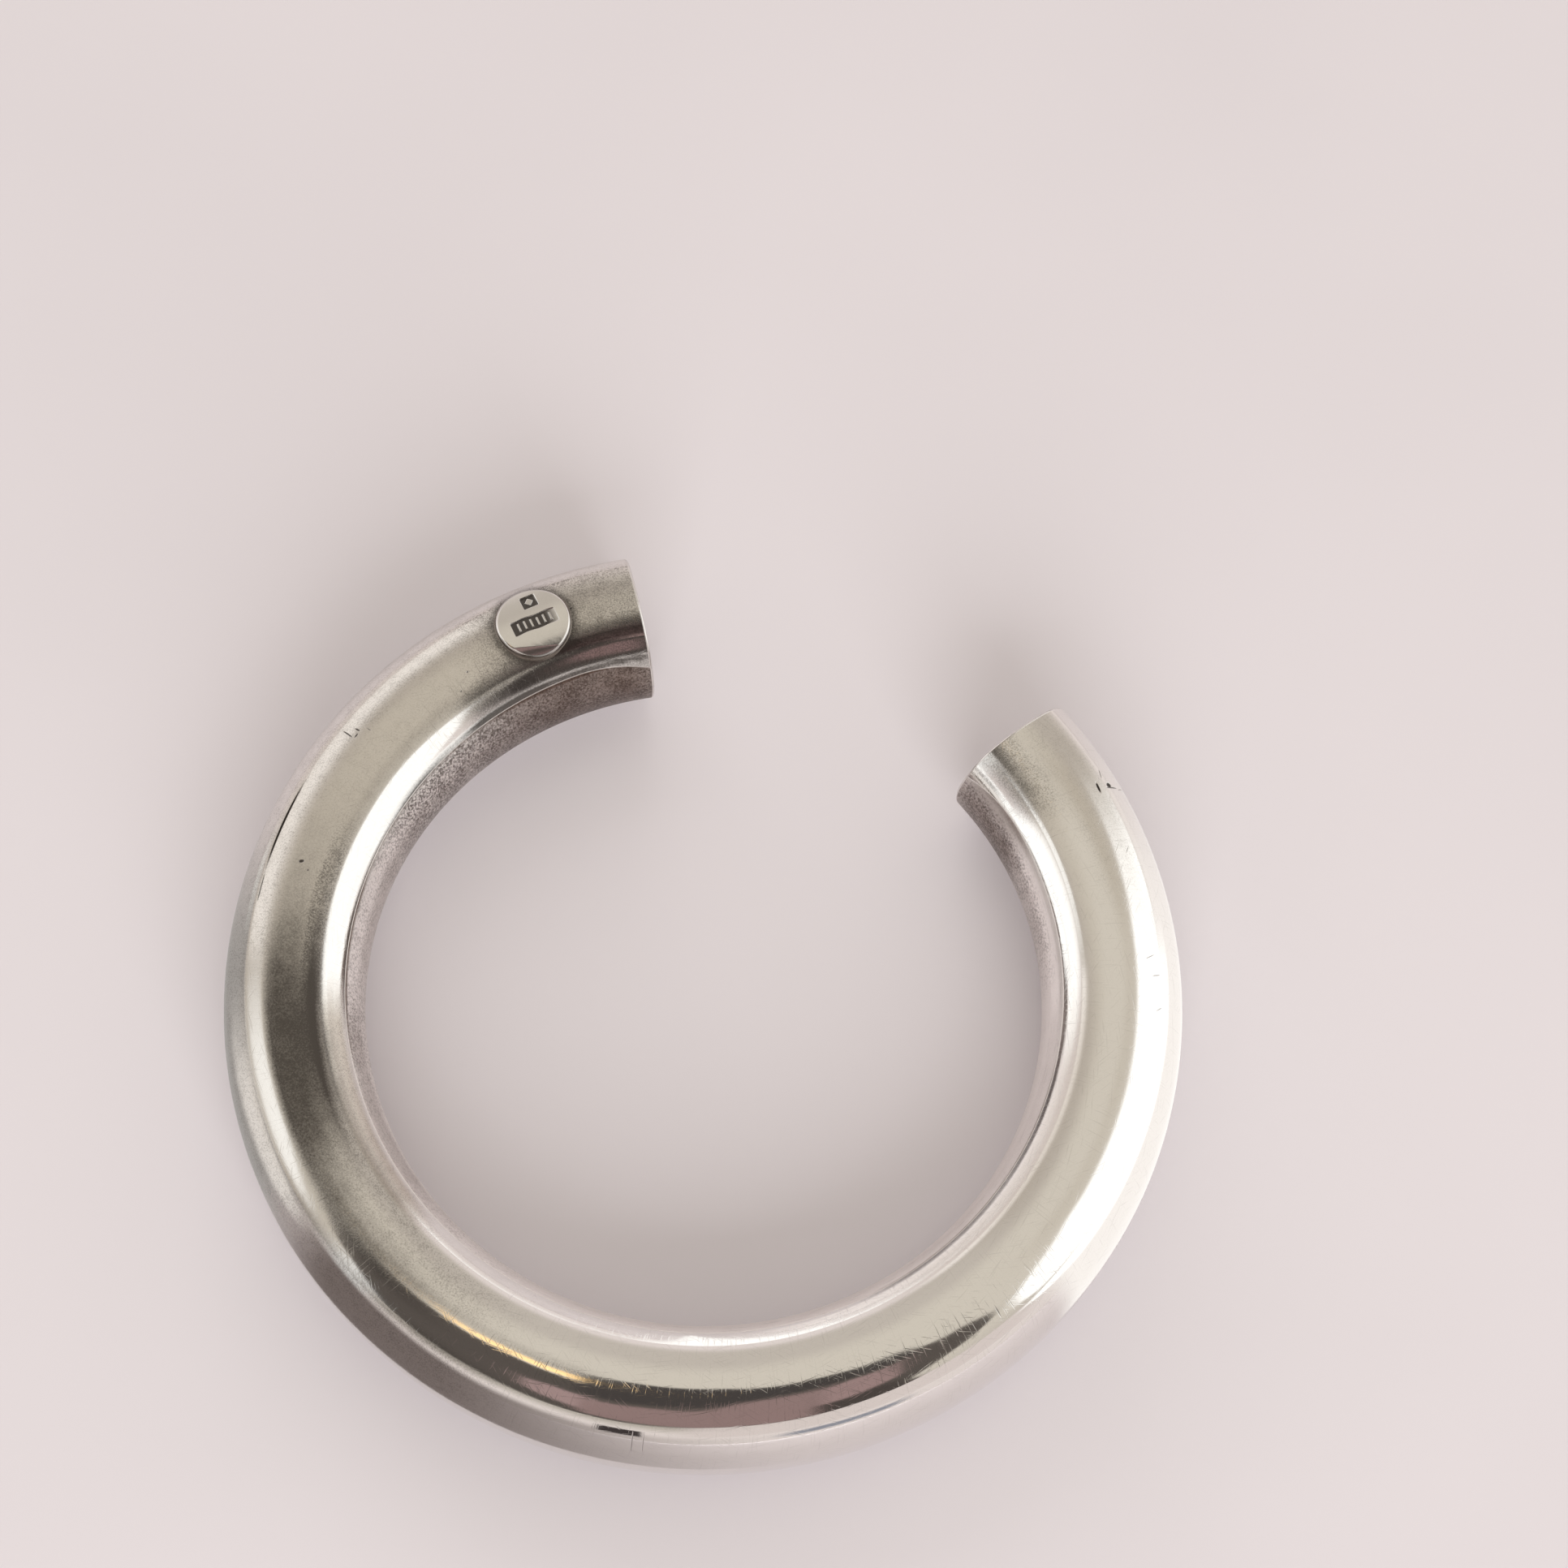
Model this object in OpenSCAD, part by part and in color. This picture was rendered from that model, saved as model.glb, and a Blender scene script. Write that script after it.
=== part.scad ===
// Open arm ring: a hollow tube of soldered silver sheet, bent to five sixths of a circle.
// Lengths are in millimetres. The ring lies on its side on z = 0, its axis is Z and its gap faces +Y.

/* [Ring] */
// Outer diameter of the ring
outer_d = 76; // [68:0.5:90]
// Angle that the gap takes up, at the middle of the tube
gap_angle = 59.5; // [40:0.5:90]
// Angle by which each end face leans back from the radius
end_lean = 3.7; // [0:0.1:8]

/* [Tube section] */
// Radial depth of the tube, from the inner band to the outer face
tube_depth = 11.1; // [10.8:0.1:11.6]
// Height of the tube, along the axis of the ring
tube_height = 11.6; // [11.2:0.1:12]
// Distance of the crown, the tube's highest line, from the inner band
crown_x = 6; // [5.8:0.1:6.2]
// Radius of the arc over the crown
crown_r = 8.2; // [7.8:0.1:9]
// Radius of the arc down the outer face
face_r = 12.9; // [12:0.1:14]
// Radius of the arc down the inner band
band_r = 6.1; // [6:0.1:6.8]
// Radius of the two outer shoulders
outer_shoulder_r = 2.8; // [2:0.1:3.2]
// Radius of the two inner shoulders
inner_shoulder_r = 2.7; // [2:0.1:3]

/* [Silver sheet] */
// Thickness of the sheet that the shell and the band are made of
sheet_t = 0.7; // [0.5:0.05:1]
// Thickness of the two end caps
cap_t = 0.8; // [0.5:0.05:1.2]
// Direction in the section in which the sheet faces at the solder seam, from straight out
seam_angle = 138.5; // [136:0.5:145]
// Radius of the fine groove that the solder seam leaves
seam_groove_r = 0.1; // [0.05:0.01:0.15]

/* [Mark plate] */
// Diameter of the soldered mark plate
plate_d = 6.1; // [5.7:0.1:6.6]
// Height of the plate's face above the crown
plate_rise = 0.5; // [0.3:0.05:0.7]
// Bevel round the face of the plate
plate_bevel = 0.25; // [0.1:0.05:0.3]
// Place of the plate round the ring, from +X towards +Y
plate_angle = 135.5; // [124:0.5:150]

/* [Stamped recesses] */
// Depth of both recesses
stamp_depth = 0.15; // [0.1:0.01:0.2]
// Length of the long recess, along the ring
long_stamp_l = 3.8; // [3:0.1:4]
// Width of the long recess
long_stamp_w = 1.2; // [1:0.05:1.3]
// Distance of the long recess from the middle of the plate, along the ring
long_stamp_along = 0.1; // [-0.2:0.05:0.2]
// Distance of the long recess from the middle of the plate, outwards
long_stamp_out = -0.15; // [-0.3:0.05:0]
// Length of the small recess, along the ring
small_stamp_l = 1.2; // [0.9:0.05:1.4]
// Width of the small recess
small_stamp_w = 1.1; // [0.9:0.05:1.2]
// Distance of the small recess from the middle of the plate, along the ring
small_stamp_along = 0.4; // [-0.5:0.05:0.5]
// Distance of the small recess from the middle of the plate, outwards
small_stamp_out = 1.75; // [1.6:0.05:1.9]

/* [Raised marks] */
// Height of the plain marks above the floor of their recess
mark_h = 0.12; // [0.05:0.01:0.2]
// Number of bars in the long recess
bar_count = 6; // [4:1:8]
// Length of each bar, across the recess
bar_l = 0.76; // [0.5:0.02:0.9]
// Width of each bar
bar_w = 0.2; // [0.15:0.01:0.25]
// Side of the lozenge in the small recess
lozenge_w = 0.55; // [0.4:0.05:0.6]

/* [Hidden] */
$fn = 96;
outer_r = outer_d / 2;
inner_r = outer_r - tube_depth;
mid_r = outer_r - tube_depth / 2;
mid_z = tube_height / 2;
crown_ring_r = inner_r + crown_x;
plate_r = plate_d / 2;
// Half of the angle between the two end planes, and where those planes meet on the Y axis
mouth_half = gap_angle / 2 + end_lean;
mouth_tip = mid_r * sin(end_lean) / sin(mouth_half);
// How far a cutting shape runs past what it cuts
clear = 1;
// How deep a soldered or raised piece reaches into the metal under it
sink = 0.05;
// The shoulders stand this much proud, so that neighbouring arcs cross instead of only touching
hair = 0.0005;
// Distance of a cutting wedge's corners from the centre of the arc that it cuts out, in radii
wedge_reach = 1.3;

// Centres of the section's arcs, from the inner band (x) and from mid height (y)
face_c = [tube_depth - face_r, 0];
band_c = [band_r, 0];
crown_c = [crown_x, mid_z - crown_r];
outer_shoulder_c = meet(face_c, face_r - outer_shoulder_r, crown_c, crown_r - outer_shoulder_r, -1);
inner_shoulder_c = meet(band_c, band_r - inner_shoulder_r, crown_c, crown_r - inner_shoulder_r, 1);

// Directions in which neighbouring arcs meet, from the outer face to the inner band
face_end = heading(outer_shoulder_c - face_c);
crown_start = heading(outer_shoulder_c - crown_c);
crown_end = heading(inner_shoulder_c - crown_c);
band_start = heading(inner_shoulder_c - band_c);

// Direction of a vector, in degrees from +X
function heading(v) = atan2(v[1], v[0]);

// Point at an angle on a circle
function on_circle(c, r, a) = c + r * [cos(a), sin(a)];

// The point that lies at distance ra from a and rb from b; side 1 is to the right of the way from a to b
function meet(a, ra, b, rb, side) =
    let (d = norm(b - a), along = (ra * ra - rb * rb + d * d) / (2 * d),
         across = sqrt(ra * ra - along * along), u = (b - a) / d)
    a + along * u + side * across * [u[1], -u[0]];

// The point mirrored in the line at mid height
function flipped(p) = [p[0], -p[1]];

// The part of a disc between two directions, from its edge down to a depth below it
module arc_strip(c, r, a0, a1, depth) {
    far_r = wedge_reach * r;
    intersection() {
        translate(c)
            circle(r);
        polygon([on_circle(c, r - depth, a0), on_circle(c, far_r, a0), on_circle(c, far_r, (a0 + a1) / 2),
                 on_circle(c, far_r, a1), on_circle(c, r - depth, a1)]);
    }
}

// The tube's section, smaller all round by inset, with x from the ring's axis and y from the ground
module tube_section(inset) {
    strip_depth = outer_shoulder_r;
    outer_corner_r = outer_shoulder_r - inset;
    inner_corner_r = inner_shoulder_r - inset;
    outer_core = on_circle(outer_shoulder_c, outer_corner_r / 2, (face_end + crown_start) / 2);
    inner_core = on_circle(inner_shoulder_c, inner_corner_r / 2, (crown_end + band_start) / 2);
    translate([inner_r, mid_z]) {
        polygon([outer_core, inner_core, flipped(inner_core), flipped(outer_core)]);
        arc_strip(face_c, face_r - inset, -face_end, face_end, strip_depth);
        arc_strip(band_c, band_r - inset, band_start, 360 - band_start, strip_depth);
        for (low = [0, 1])
            mirror([0, low]) {
                arc_strip(crown_c, crown_r - inset, crown_start, crown_end, strip_depth);
                translate(outer_shoulder_c)
                    circle(outer_corner_r + hair);
                translate(inner_shoulder_c)
                    circle(inner_corner_r + hair);
            }
    }
}

// The wedge between the two end planes, each of them moved back by setback
module mouth(setback) {
    tip = mouth_tip - setback / sin(mouth_half);
    reach = outer_d;
    half_w = reach * tan(mouth_half);
    translate([0, 0, -clear])
        linear_extrude(tube_height + 2 * clear)
            polygon([[0, tip], [half_w, tip + reach], [-half_w, tip + reach]]);
}

// The bent tube, smaller all round by inset and shorter at each end by setback
module bent_tube(inset, setback) {
    difference() {
        rotate_extrude()
            tube_section(inset);
        mouth(setback);
    }
}

// The zone of the inner band: what lies inwards of both seams
module band_zone() {
    seam_reach = 2 * sheet_t;
    seam_foot = on_circle(band_c, band_r - seam_reach, seam_angle);
    seam_far = on_circle(band_c, band_r + seam_reach, seam_angle);
    rotate_extrude()
        translate([inner_r, mid_z])
            polygon([[-clear, -seam_far[1]], flipped(seam_far), flipped(seam_foot),
                     seam_foot, seam_far, [-clear, seam_far[1]]]);
}

// The sheet wall all round the tube, open at both ends
module sheet_wall() {
    difference() {
        bent_tube(0, cap_t);
        rotate_extrude()
            tube_section(sheet_t);
    }
}

// The domed outer shell, from seam to seam over the crown, the outer face and the foot
module outer_shell() {
    color("silver")
        difference() {
            sheet_wall();
            band_zone();
        }
}

// The inner band that closes the shell towards the wrist
module inner_band() {
    color("rosybrown")
        intersection() {
            sheet_wall();
            band_zone();
        }
}

// The flat plates that close both ends of the tube
module end_caps() {
    color("gainsboro")
        difference() {
            bent_tube(0, 0);
            behind_caps();
        }
}

// All of the space that lies behind the two end caps
module behind_caps() {
    difference() {
        translate([0, 0, -clear])
            cylinder(r = outer_d, h = tube_height + 2 * clear);
        mouth(cap_t);
    }
}

// The round mark plate on the crown, with its two stamped recesses
module mark_plate() {
    foot_z = tube_height - sheet_t + sink;
    face_z = tube_height + plate_rise;
    color("whitesmoke")
        rotate([0, 0, plate_angle - 90])
            translate([0, crown_ring_r, 0]) {
                difference() {
                    translate([0, 0, foot_z])
                        plate_blank(face_z - foot_z);
                    translate([long_stamp_along, long_stamp_out, face_z - stamp_depth])
                        stamp(long_stamp_l, long_stamp_w);
                    translate([small_stamp_along, small_stamp_out, face_z - stamp_depth])
                        stamp(small_stamp_l, small_stamp_w);
                }
                translate([long_stamp_along, long_stamp_out, face_z - stamp_depth])
                    bars();
                translate([small_stamp_along, small_stamp_out, face_z - stamp_depth])
                    rotate([0, 0, 45])
                        raised_mark(lozenge_w, lozenge_w);
            }
}

// The plate before it is stamped
module plate_blank(height) {
    rotate_extrude()
        polygon([[0, 0], [plate_r, 0], [plate_r, height - plate_bevel],
                 [plate_r - plate_bevel, height], [0, height]]);
}

// The space of a rectangular punch, from the floor of its recess upwards
module stamp(length, width) {
    translate([-length / 2, -width / 2, 0])
        cube([length, width, stamp_depth + clear]);
}

// One raised mark on the floor of a recess
module raised_mark(length, width) {
    translate([-length / 2, -width / 2, -sink])
        cube([length, width, sink + mark_h]);
}

// The row of plain bars in the long recess
module bars() {
    pitch = long_stamp_l / (bar_count + 1);
    for (i = [1:bar_count])
        translate([i * pitch - long_stamp_l / 2, 0, 0])
            raised_mark(bar_w, bar_l);
}

// The fine grooves of the two solder seams
module seam_grooves() {
    seam = on_circle(band_c, band_r, seam_angle);
    for (side = [-1, 1])
        rotate_extrude()
            translate([inner_r + seam[0], mid_z + side * seam[1]])
                circle(seam_groove_r);
}

// The whole ring: sheet, caps and plate soldered into one hollow piece
module arm_ring() {
    difference() {
        union() {
            outer_shell();
            inner_band();
            end_caps();
            mark_plate();
        }
        seam_grooves();
    }
}

arm_ring();
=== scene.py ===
"""Open arm ring of soldered silver sheet: the finished surfaces over the packed solid, with its stage.

The frame has its origin on the ground at the ring's centre, +Z up along the ring's axis and +Y out through
the gap. A point of the tube is given by three numbers: the turn round the axis, the direction in which the
metal faces in the section there (0 straight out, 90 degrees up, 180 towards the axis) and how deep it lies
under the surface.
"""

import math
import bmesh
import bpy
import numpy as np
from bpy.props import FloatProperty, FloatVectorProperty, IntProperty, PointerProperty
from bpy.types import Operator, Panel, PropertyGroup
from mathutils import Matrix, Vector


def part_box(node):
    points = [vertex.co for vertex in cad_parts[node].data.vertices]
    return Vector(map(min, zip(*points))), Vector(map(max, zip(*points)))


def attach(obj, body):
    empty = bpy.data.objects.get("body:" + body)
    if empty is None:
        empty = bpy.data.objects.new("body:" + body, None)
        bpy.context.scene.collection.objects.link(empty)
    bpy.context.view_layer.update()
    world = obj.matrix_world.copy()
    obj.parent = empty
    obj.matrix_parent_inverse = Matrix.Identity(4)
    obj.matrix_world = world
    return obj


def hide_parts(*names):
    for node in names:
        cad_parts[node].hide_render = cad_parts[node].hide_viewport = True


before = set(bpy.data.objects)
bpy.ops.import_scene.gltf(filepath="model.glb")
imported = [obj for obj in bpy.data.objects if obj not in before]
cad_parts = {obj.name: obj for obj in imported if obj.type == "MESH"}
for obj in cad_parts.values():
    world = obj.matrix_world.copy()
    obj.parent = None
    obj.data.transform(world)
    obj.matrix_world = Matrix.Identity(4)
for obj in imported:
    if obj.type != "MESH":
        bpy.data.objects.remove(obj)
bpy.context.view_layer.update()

bl_info = {
    "name": "Open arm ring",
    "version": (1, 0, 0),
    "blender": (4, 5, 0),
    "location": "3D View > Sidebar > Arm ring",
    "description": "Builds the surfaces of an open silver arm ring over its solid",
    "category": "Object",
}

NODE, BODY, SLOT = "arm_ring", "root", "silver"
MM = 0.001
OUTER_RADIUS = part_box(NODE)[1].x
# Points round the ring, across the shell and the band, and round a solder bead
ROWS, SHELL_COLUMNS, BAND_COLUMNS, BEAD_SIDES = 420, 106, 54, 12
# Points round an end cap, and rows of them on its face and over its rim
CAP_SIDES, CAP_FACE_ROWS, CAP_RIM_ROWS = 240, 16, 7
# Points round the mark plate, circles on its face, and steps of its rounded edge and its fillet
PLATE_SIDES, PLATE_CIRCLES, BEND_STEPS = 288, 96, 9
# Points along and across a reflected card
CARD_ROWS, CARD_COLUMNS = 65, 33
# One unit of the UV map is a millimetre at this distance from the axis, in millimetres
UV_RADIUS = 33.0


def length(name, text, millimetres):
    """A length property, given here in millimetres."""
    return FloatProperty(name=name, description=text, default=millimetres * MM, min=0, max=0.2, precision=5,
                         unit="LENGTH", subtype="DISTANCE")


def angle(name, text, degrees):
    """An angle property, given here in degrees."""
    return FloatProperty(name=name, description=text, default=math.radians(degrees), min=-math.pi,
                         max=math.pi, subtype="ANGLE", unit="ROTATION")


def tint(name, text, default):
    """A colour property, in scene linear values."""
    return FloatVectorProperty(name=name, description=text, default=default, size=3, min=0, max=1,
                               subtype="COLOR")


class ArmRingSizes(PropertyGroup):
    """The bent tube: its ring and its section."""

    outer_radius: length("Outer radius", "From the axis to the outer face", OUTER_RADIUS / MM)
    tube_height: length("Tube height", "Height of the tube along the ring's axis", 11.6)
    tube_depth: length("Tube depth", "Depth of the tube from the inner band to the outer face", 11.1)
    crown_out: length("Crown place", "Distance of the crown from the inner band", 6)
    crown_radius: length("Crown radius", "Radius of the arc over the crown", 8.2)
    face_radius: length("Face radius", "Radius of the arc down the outer face", 12.9)
    shoulder_radius: length("Shoulder radius", "Radius of the outer shoulder inside the sheet", 2.8)
    flank_start: angle("Flank start", "Direction in which the outer face passes into the flank", 12.5)
    flank_radius: length("Flank radius", "Radius of the flank under the soft ridge", 3.8)
    ridge_radius: length("Ridge radius", "Radius of the soft ridge between flank and crown", 0.4)
    inner_shoulder_radius: length("Inner shoulder", "Radius of the inner shoulder inside the sheet", 2.7)
    band_radius: length("Band radius", "Radius of the arc down the inner band", 6.1)
    gap_angle: angle("Gap", "Angle of the gap at the middle of the tube", 59.5)
    end_lean: angle("End lean", "Angle by which each end leans back from the radius", 3.7)
    sheet: length("Sheet", "Thickness of the silver sheet", 0.7)
    cap: length("Cap", "Thickness of the end caps", 0.8)
    cap_dome: length("Cap dome", "How far the caps bulge in their middle", 0.13)
    rim: length("Rim", "Rounding of the edge round both end caps", 0.22)


class ArmRingSeam(PropertyGroup):
    """The two soldered seams between the outer shell and the inner band."""

    place: angle("Seam place", "Direction in which the sheet faces at the seam", 140.6)
    bend: angle("Seam bend", "How much further in the seam lies at the very ends", 9)
    bend_reach: angle("Bend reach", "Part of the ring over which the seam bends in", 12)
    gap: length("Seam gap", "Width of the gap between the two sheets", 0.12)
    edge: length("Sheet edge", "Rounding of the sheets' edges along the seam", 0.09)
    bead: length("Solder bead", "Radius of the solder bead in the seam", 0.1)
    bead_depth: length("Bead depth", "How deep the bead's middle lies under the surface", 0.17)


class ArmRingPlate(PropertyGroup):
    """The round mark plate on the crown near the left end."""

    turn: angle("Plate place", "Place of the plate round the ring", 135.2)
    out: length("Plate offset", "Distance of the plate's middle outwards from the crown's top", 0.22)
    radius: length("Plate radius", "Radius of the plate", 3.02)
    rise: length("Plate rise", "Height of the plate's face above the crown", 0.5)
    bevel: length("Plate bevel", "Rounding of the plate's edge", 0.2)
    bend: length("Plate bend", "Radius over which the plate is bent outwards and inwards", 9)
    dip: FloatProperty(name="Edge dip",
                       description="Slope by which the plate's inner edge is bent down further",
                       default=0.38, min=0, max=1)
    dip_from: length("Dip start", "Distance from the plate's middle at which its inner edge starts to dip",
                     2.22)
    dip_turn: angle("Dip turn", "Turn of the dip's straight border from the line across the plate", 18)
    stamp_depth: length("Stamp depth", "Depth of both stamped recesses", 0.15)
    long_length: length("Long recess", "Length of the long recess", 3.8)
    long_width: length("Long recess width", "Width of the long recess", 1.2)
    bars: IntProperty(name="Bars", description="Number of plain bars in the long recess", default=6, min=1,
                      max=9)
    bar_length: length("Bar length", "Length of each bar across the recess", 0.76)
    bar_width: length("Bar width", "Width of each bar", 0.2)
    bar_height: length("Bar height", "Height of the bars and the lozenge", 0.12)
    small_length: length("Small recess", "Length of the small recess along the ring", 1.2)
    small_width: length("Small recess width", "Width of the small recess", 1.1)
    lozenge: length("Lozenge", "Side of the lozenge in the small recess", 0.55)


class ArmRingFinish(PropertyGroup):
    """Colours and gloss of the metal."""

    silver: tint("Silver", "Clean polished silver", (0.90, 0.88, 0.86))
    toning: tint("Toning", "Silver with a warm grey film", (0.58, 0.53, 0.47))
    # This dark colour is tarnish, and it also paints the dark reflection on the crown and the shade round and
    # down the mark plate
    tarnish_and_painted_light: tint("Tarnish", "Dark tarnish in pits and corners", (0.105, 0.095, 0.088))
    band: tint("Band", "Satin silver of the inner band", (0.93, 0.885, 0.86))
    band_tarnish: tint("Band tarnish", "Brown film on the inner band", (0.17, 0.12, 0.10))
    solder: tint("Solder", "Dull solder in the seams", (0.09, 0.069, 0.058))
    gloss: FloatProperty(name="Polish", description="Roughness of the polished silver", default=0.05, min=0,
                         max=1)
    satin: FloatProperty(name="Satin", description="Roughness of the inner band", default=0.33, min=0, max=1)


class ArmRingStage(PropertyGroup):
    """Floor, light and camera."""

    floor: tint("Floor", "Pale matte floor", (0.742, 0.705, 0.742))
    sky_low: tint("Low light", "Colour of the studio light near the ground", (0.84, 0.765, 0.735))
    sky_middle: tint("Middle light", "Colour of the studio light half-way up", (0.60, 0.55, 0.49))
    sky_high: tint("High light", "Colour of the studio light overhead", (0.71, 0.66, 0.575))
    camera_place: FloatVectorProperty(name="Camera place", description="Where the camera stands", size=3,
                                      default=(0.03274, -0.10009, 0.30993), unit="LENGTH", subtype="XYZ")
    camera_aim: FloatVectorProperty(name="Camera aim",
                                    description="Ground point in the middle of the picture", size=3,
                                    default=(-0.00096, 0.0218, 0.0), unit="LENGTH", subtype="XYZ")
    camera_roll: angle("Camera roll", "Turn of the camera round its line of sight, to the left", 4.749)
    camera_lens: FloatProperty(name="Lens", description="Focal length on a 36 mm frame", default=92.74,
                               min=20, max=300, unit="CAMERA")


# Shape of the tube


def heading(v):
    """The direction of a flat vector, from its first axis."""
    return math.atan2(v[1], v[0])


def unit(a):
    """The flat vector of length one in the direction a."""
    return np.array([math.cos(a), math.sin(a)])


def half_turned(a):
    """The same direction, between minus and plus half a turn."""
    return (a + math.pi) % (2 * math.pi) - math.pi


def smooth_step(value):
    """0 below 0, 1 above 1, and 3 value squared - 2 value cubed in between."""
    t = np.clip(value, 0, 1)
    return t * t * (3 - 2 * t)


def meeting_point(a, reach_a, b, reach_b, side):
    """The point at reach_a from a and at reach_b from b. Along the line between them it lies at (reach_a
    squared - reach_b squared + distance squared) / (2 distance), and beside it by what is left of reach_a."""
    between = np.linalg.norm(b - a)
    along = (reach_a**2 - reach_b**2 + between**2) / (2 * between)
    across = math.sqrt(reach_a**2 - along**2)
    line = (b - a) / between
    return a + along * line + side * across * np.array([line[1], -line[0]])


class Section:
    """The upper half of the tube's section as arcs that pass into each other, from the outer face to the
    inner band. Its x runs outwards from the inner band and its y up from mid height. Each arc touches its
    neighbours where both face the same way, so the direction of the surface alone names a point on it."""

    def __init__(self, s, ridged):
        self.inner, self.mid = s.outer_radius - s.tube_depth, s.tube_height / 2
        face = np.array([s.tube_depth - s.face_radius, 0.0])
        band = np.array([s.band_radius, 0.0])
        crown = np.array([s.crown_out, self.mid - s.crown_radius])
        inner_shoulder = meeting_point(band, s.band_radius - s.inner_shoulder_radius,
                                       crown, s.crown_radius - s.inner_shoulder_radius, 1)
        arcs = [(face, s.face_radius)]
        if ridged:
            flank = face + (s.face_radius - s.flank_radius) * unit(s.flank_start)
            ridge = meeting_point(flank, s.flank_radius - s.ridge_radius, crown,
                                  s.crown_radius - s.ridge_radius, -1)
            arcs += [(flank, s.flank_radius), (ridge, s.ridge_radius)]
        else:
            shoulder = meeting_point(face, s.face_radius - s.shoulder_radius,
                                     crown, s.crown_radius - s.shoulder_radius, -1)
            arcs += [(shoulder, s.shoulder_radius)]
        arcs += [(crown, s.crown_radius), (inner_shoulder, s.inner_shoulder_radius), (band, s.band_radius)]
        self.centres = np.array([c for c, _ in arcs])
        self.radii = np.array([r for _, r in arcs])
        # Neighbouring arcs meet in the direction of the line through their centres, from the larger to the
        # smaller arc
        self.meets = np.array([heading((b - a) if ra > rb else (a - b))
                               for (a, ra), (b, rb) in zip(arcs[:-1], arcs[1:])])

    def point(self, facing, depth=0.0):
        """Distance from the axis and height above the ground of points that face these ways, at a depth."""
        facing = half_turned(facing)
        up = np.abs(facing)
        which = np.searchsorted(self.meets, up)
        reach = self.radii[which] - depth
        x = self.centres[which, 0] + reach * np.cos(up)
        y = (self.centres[which, 1] + reach * np.sin(up)) * np.where(facing < 0, -1, 1)
        return x + self.inner, y + self.mid

    def run(self, facing):
        """Length of the section from the crown's top to the points that face these ways, positive outwards:
        the sum over the arcs of radius times turned angle."""
        facing = half_turned(facing)
        edges = np.concatenate([[0], self.meets, [math.pi]])
        sums = np.concatenate([[0], np.cumsum(self.radii * np.diff(edges))])
        from_face = np.interp(np.abs(facing), edges, sums)
        top = np.interp(math.pi / 2, edges, sums)
        return np.where(facing < 0, top + from_face, top - from_face)

    def spread(self, start, stop, count):
        """Directions from start to stop whose spacing follows the length of the arcs plus the turned angle
        times 3 mm, so that a tight arc still gets points of its own."""
        fine = np.linspace(start, stop, 4001)
        radius = self.radii[np.searchsorted(self.meets, np.abs(half_turned(fine)))]
        weight = np.concatenate([[0], np.cumsum((radius[1:] + 3 * MM) * np.diff(np.abs(fine - start)))])
        return np.interp(np.linspace(0, weight[-1], count), weight, fine)

    def facing_at(self, from_axis):
        """Direction in which the upper side faces at these distances from the axis."""
        facing = np.radians(np.linspace(170, 0.5, 3000))
        return np.interp(from_axis, self.point(facing)[0], facing)

    def crown_height(self, from_axis):
        """Height of the upper side over the points at these distances from the axis."""
        facing = np.radians(np.linspace(170, 5, 1200))
        x, z = self.point(facing)
        return np.interp(from_axis, x, z)


def end_turn(s, from_axis, back=0.0):
    """Angle between +Y and the end plane's crossing with the circle at this distance from the axis. The end
    planes cross on the Y axis, at the tip, and lean back from the radius; back moves both into the metal."""
    half = s.gap_angle / 2 + s.end_lean
    middle = s.outer_radius - s.tube_depth / 2
    tip = middle * math.sin(s.end_lean) / math.sin(half) - back / math.sin(half)
    along = -tip * math.cos(half) + np.sqrt(from_axis**2 - (tip * math.sin(half))**2)
    return np.arctan2(along * math.sin(half), tip + along * math.cos(half))


def round_axis(from_axis, height, turn):
    """The points or directions with this distance from the axis, this height and this turn round the axis."""
    return np.stack([from_axis * np.cos(turn), from_axis * np.sin(turn), height + 0 * turn], -1)


def round_ring(s, from_axis, height, share, back):
    """Points round the ring: share runs from 0 at the left end to 1 at the right end, and every distance from
    the axis has its own first and last turn, so that the rows near the ends lie in the end planes."""
    away = end_turn(s, from_axis, back)
    turn = math.pi / 2 + away + (2 * math.pi - 2 * away) * share
    return round_axis(from_axis, height, turn), turn


def seam_facing(s, seam, share):
    """Direction in which the sheet faces at the seam: even along the ring, and turning further in near both
    ends as the square of the nearness."""
    whole = 2 * math.pi - s.gap_angle
    near = np.clip(1 - np.minimum(share, 1 - share) * whole / seam.bend_reach, 0, 1)
    return seam.place + seam.bend * near**2


# Meshes


def quads_of(rows, columns, wrap_columns=False, wrap_rows=False):
    """The four corner numbers of each cell in a grid of points that is stored row by row."""
    numbers = np.arange(rows * columns).reshape(rows, columns)
    if wrap_columns:
        numbers = np.concatenate([numbers, numbers[:, :1]], 1)
    if wrap_rows:
        numbers = np.concatenate([numbers, numbers[:1]], 0)
    corners = [numbers[:-1, :-1], numbers[1:, :-1], numbers[1:, 1:], numbers[:-1, 1:]]
    return np.stack(corners, -1).reshape(-1, 4)


def cord_quads(columns):
    """The cells of a cord round the whole ring, whose rows are closed loops. At both ends the two halves of
    the loop are joined, point by point."""
    half = np.arange(columns // 2 - 1)
    first_end = np.stack([half, half + 1, columns - 2 - half, columns - 1 - half], -1)
    return np.concatenate([quads_of(ROWS, columns, wrap_columns=True), first_end,
                           first_end[:, ::-1] + (ROWS - 1) * columns])


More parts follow.
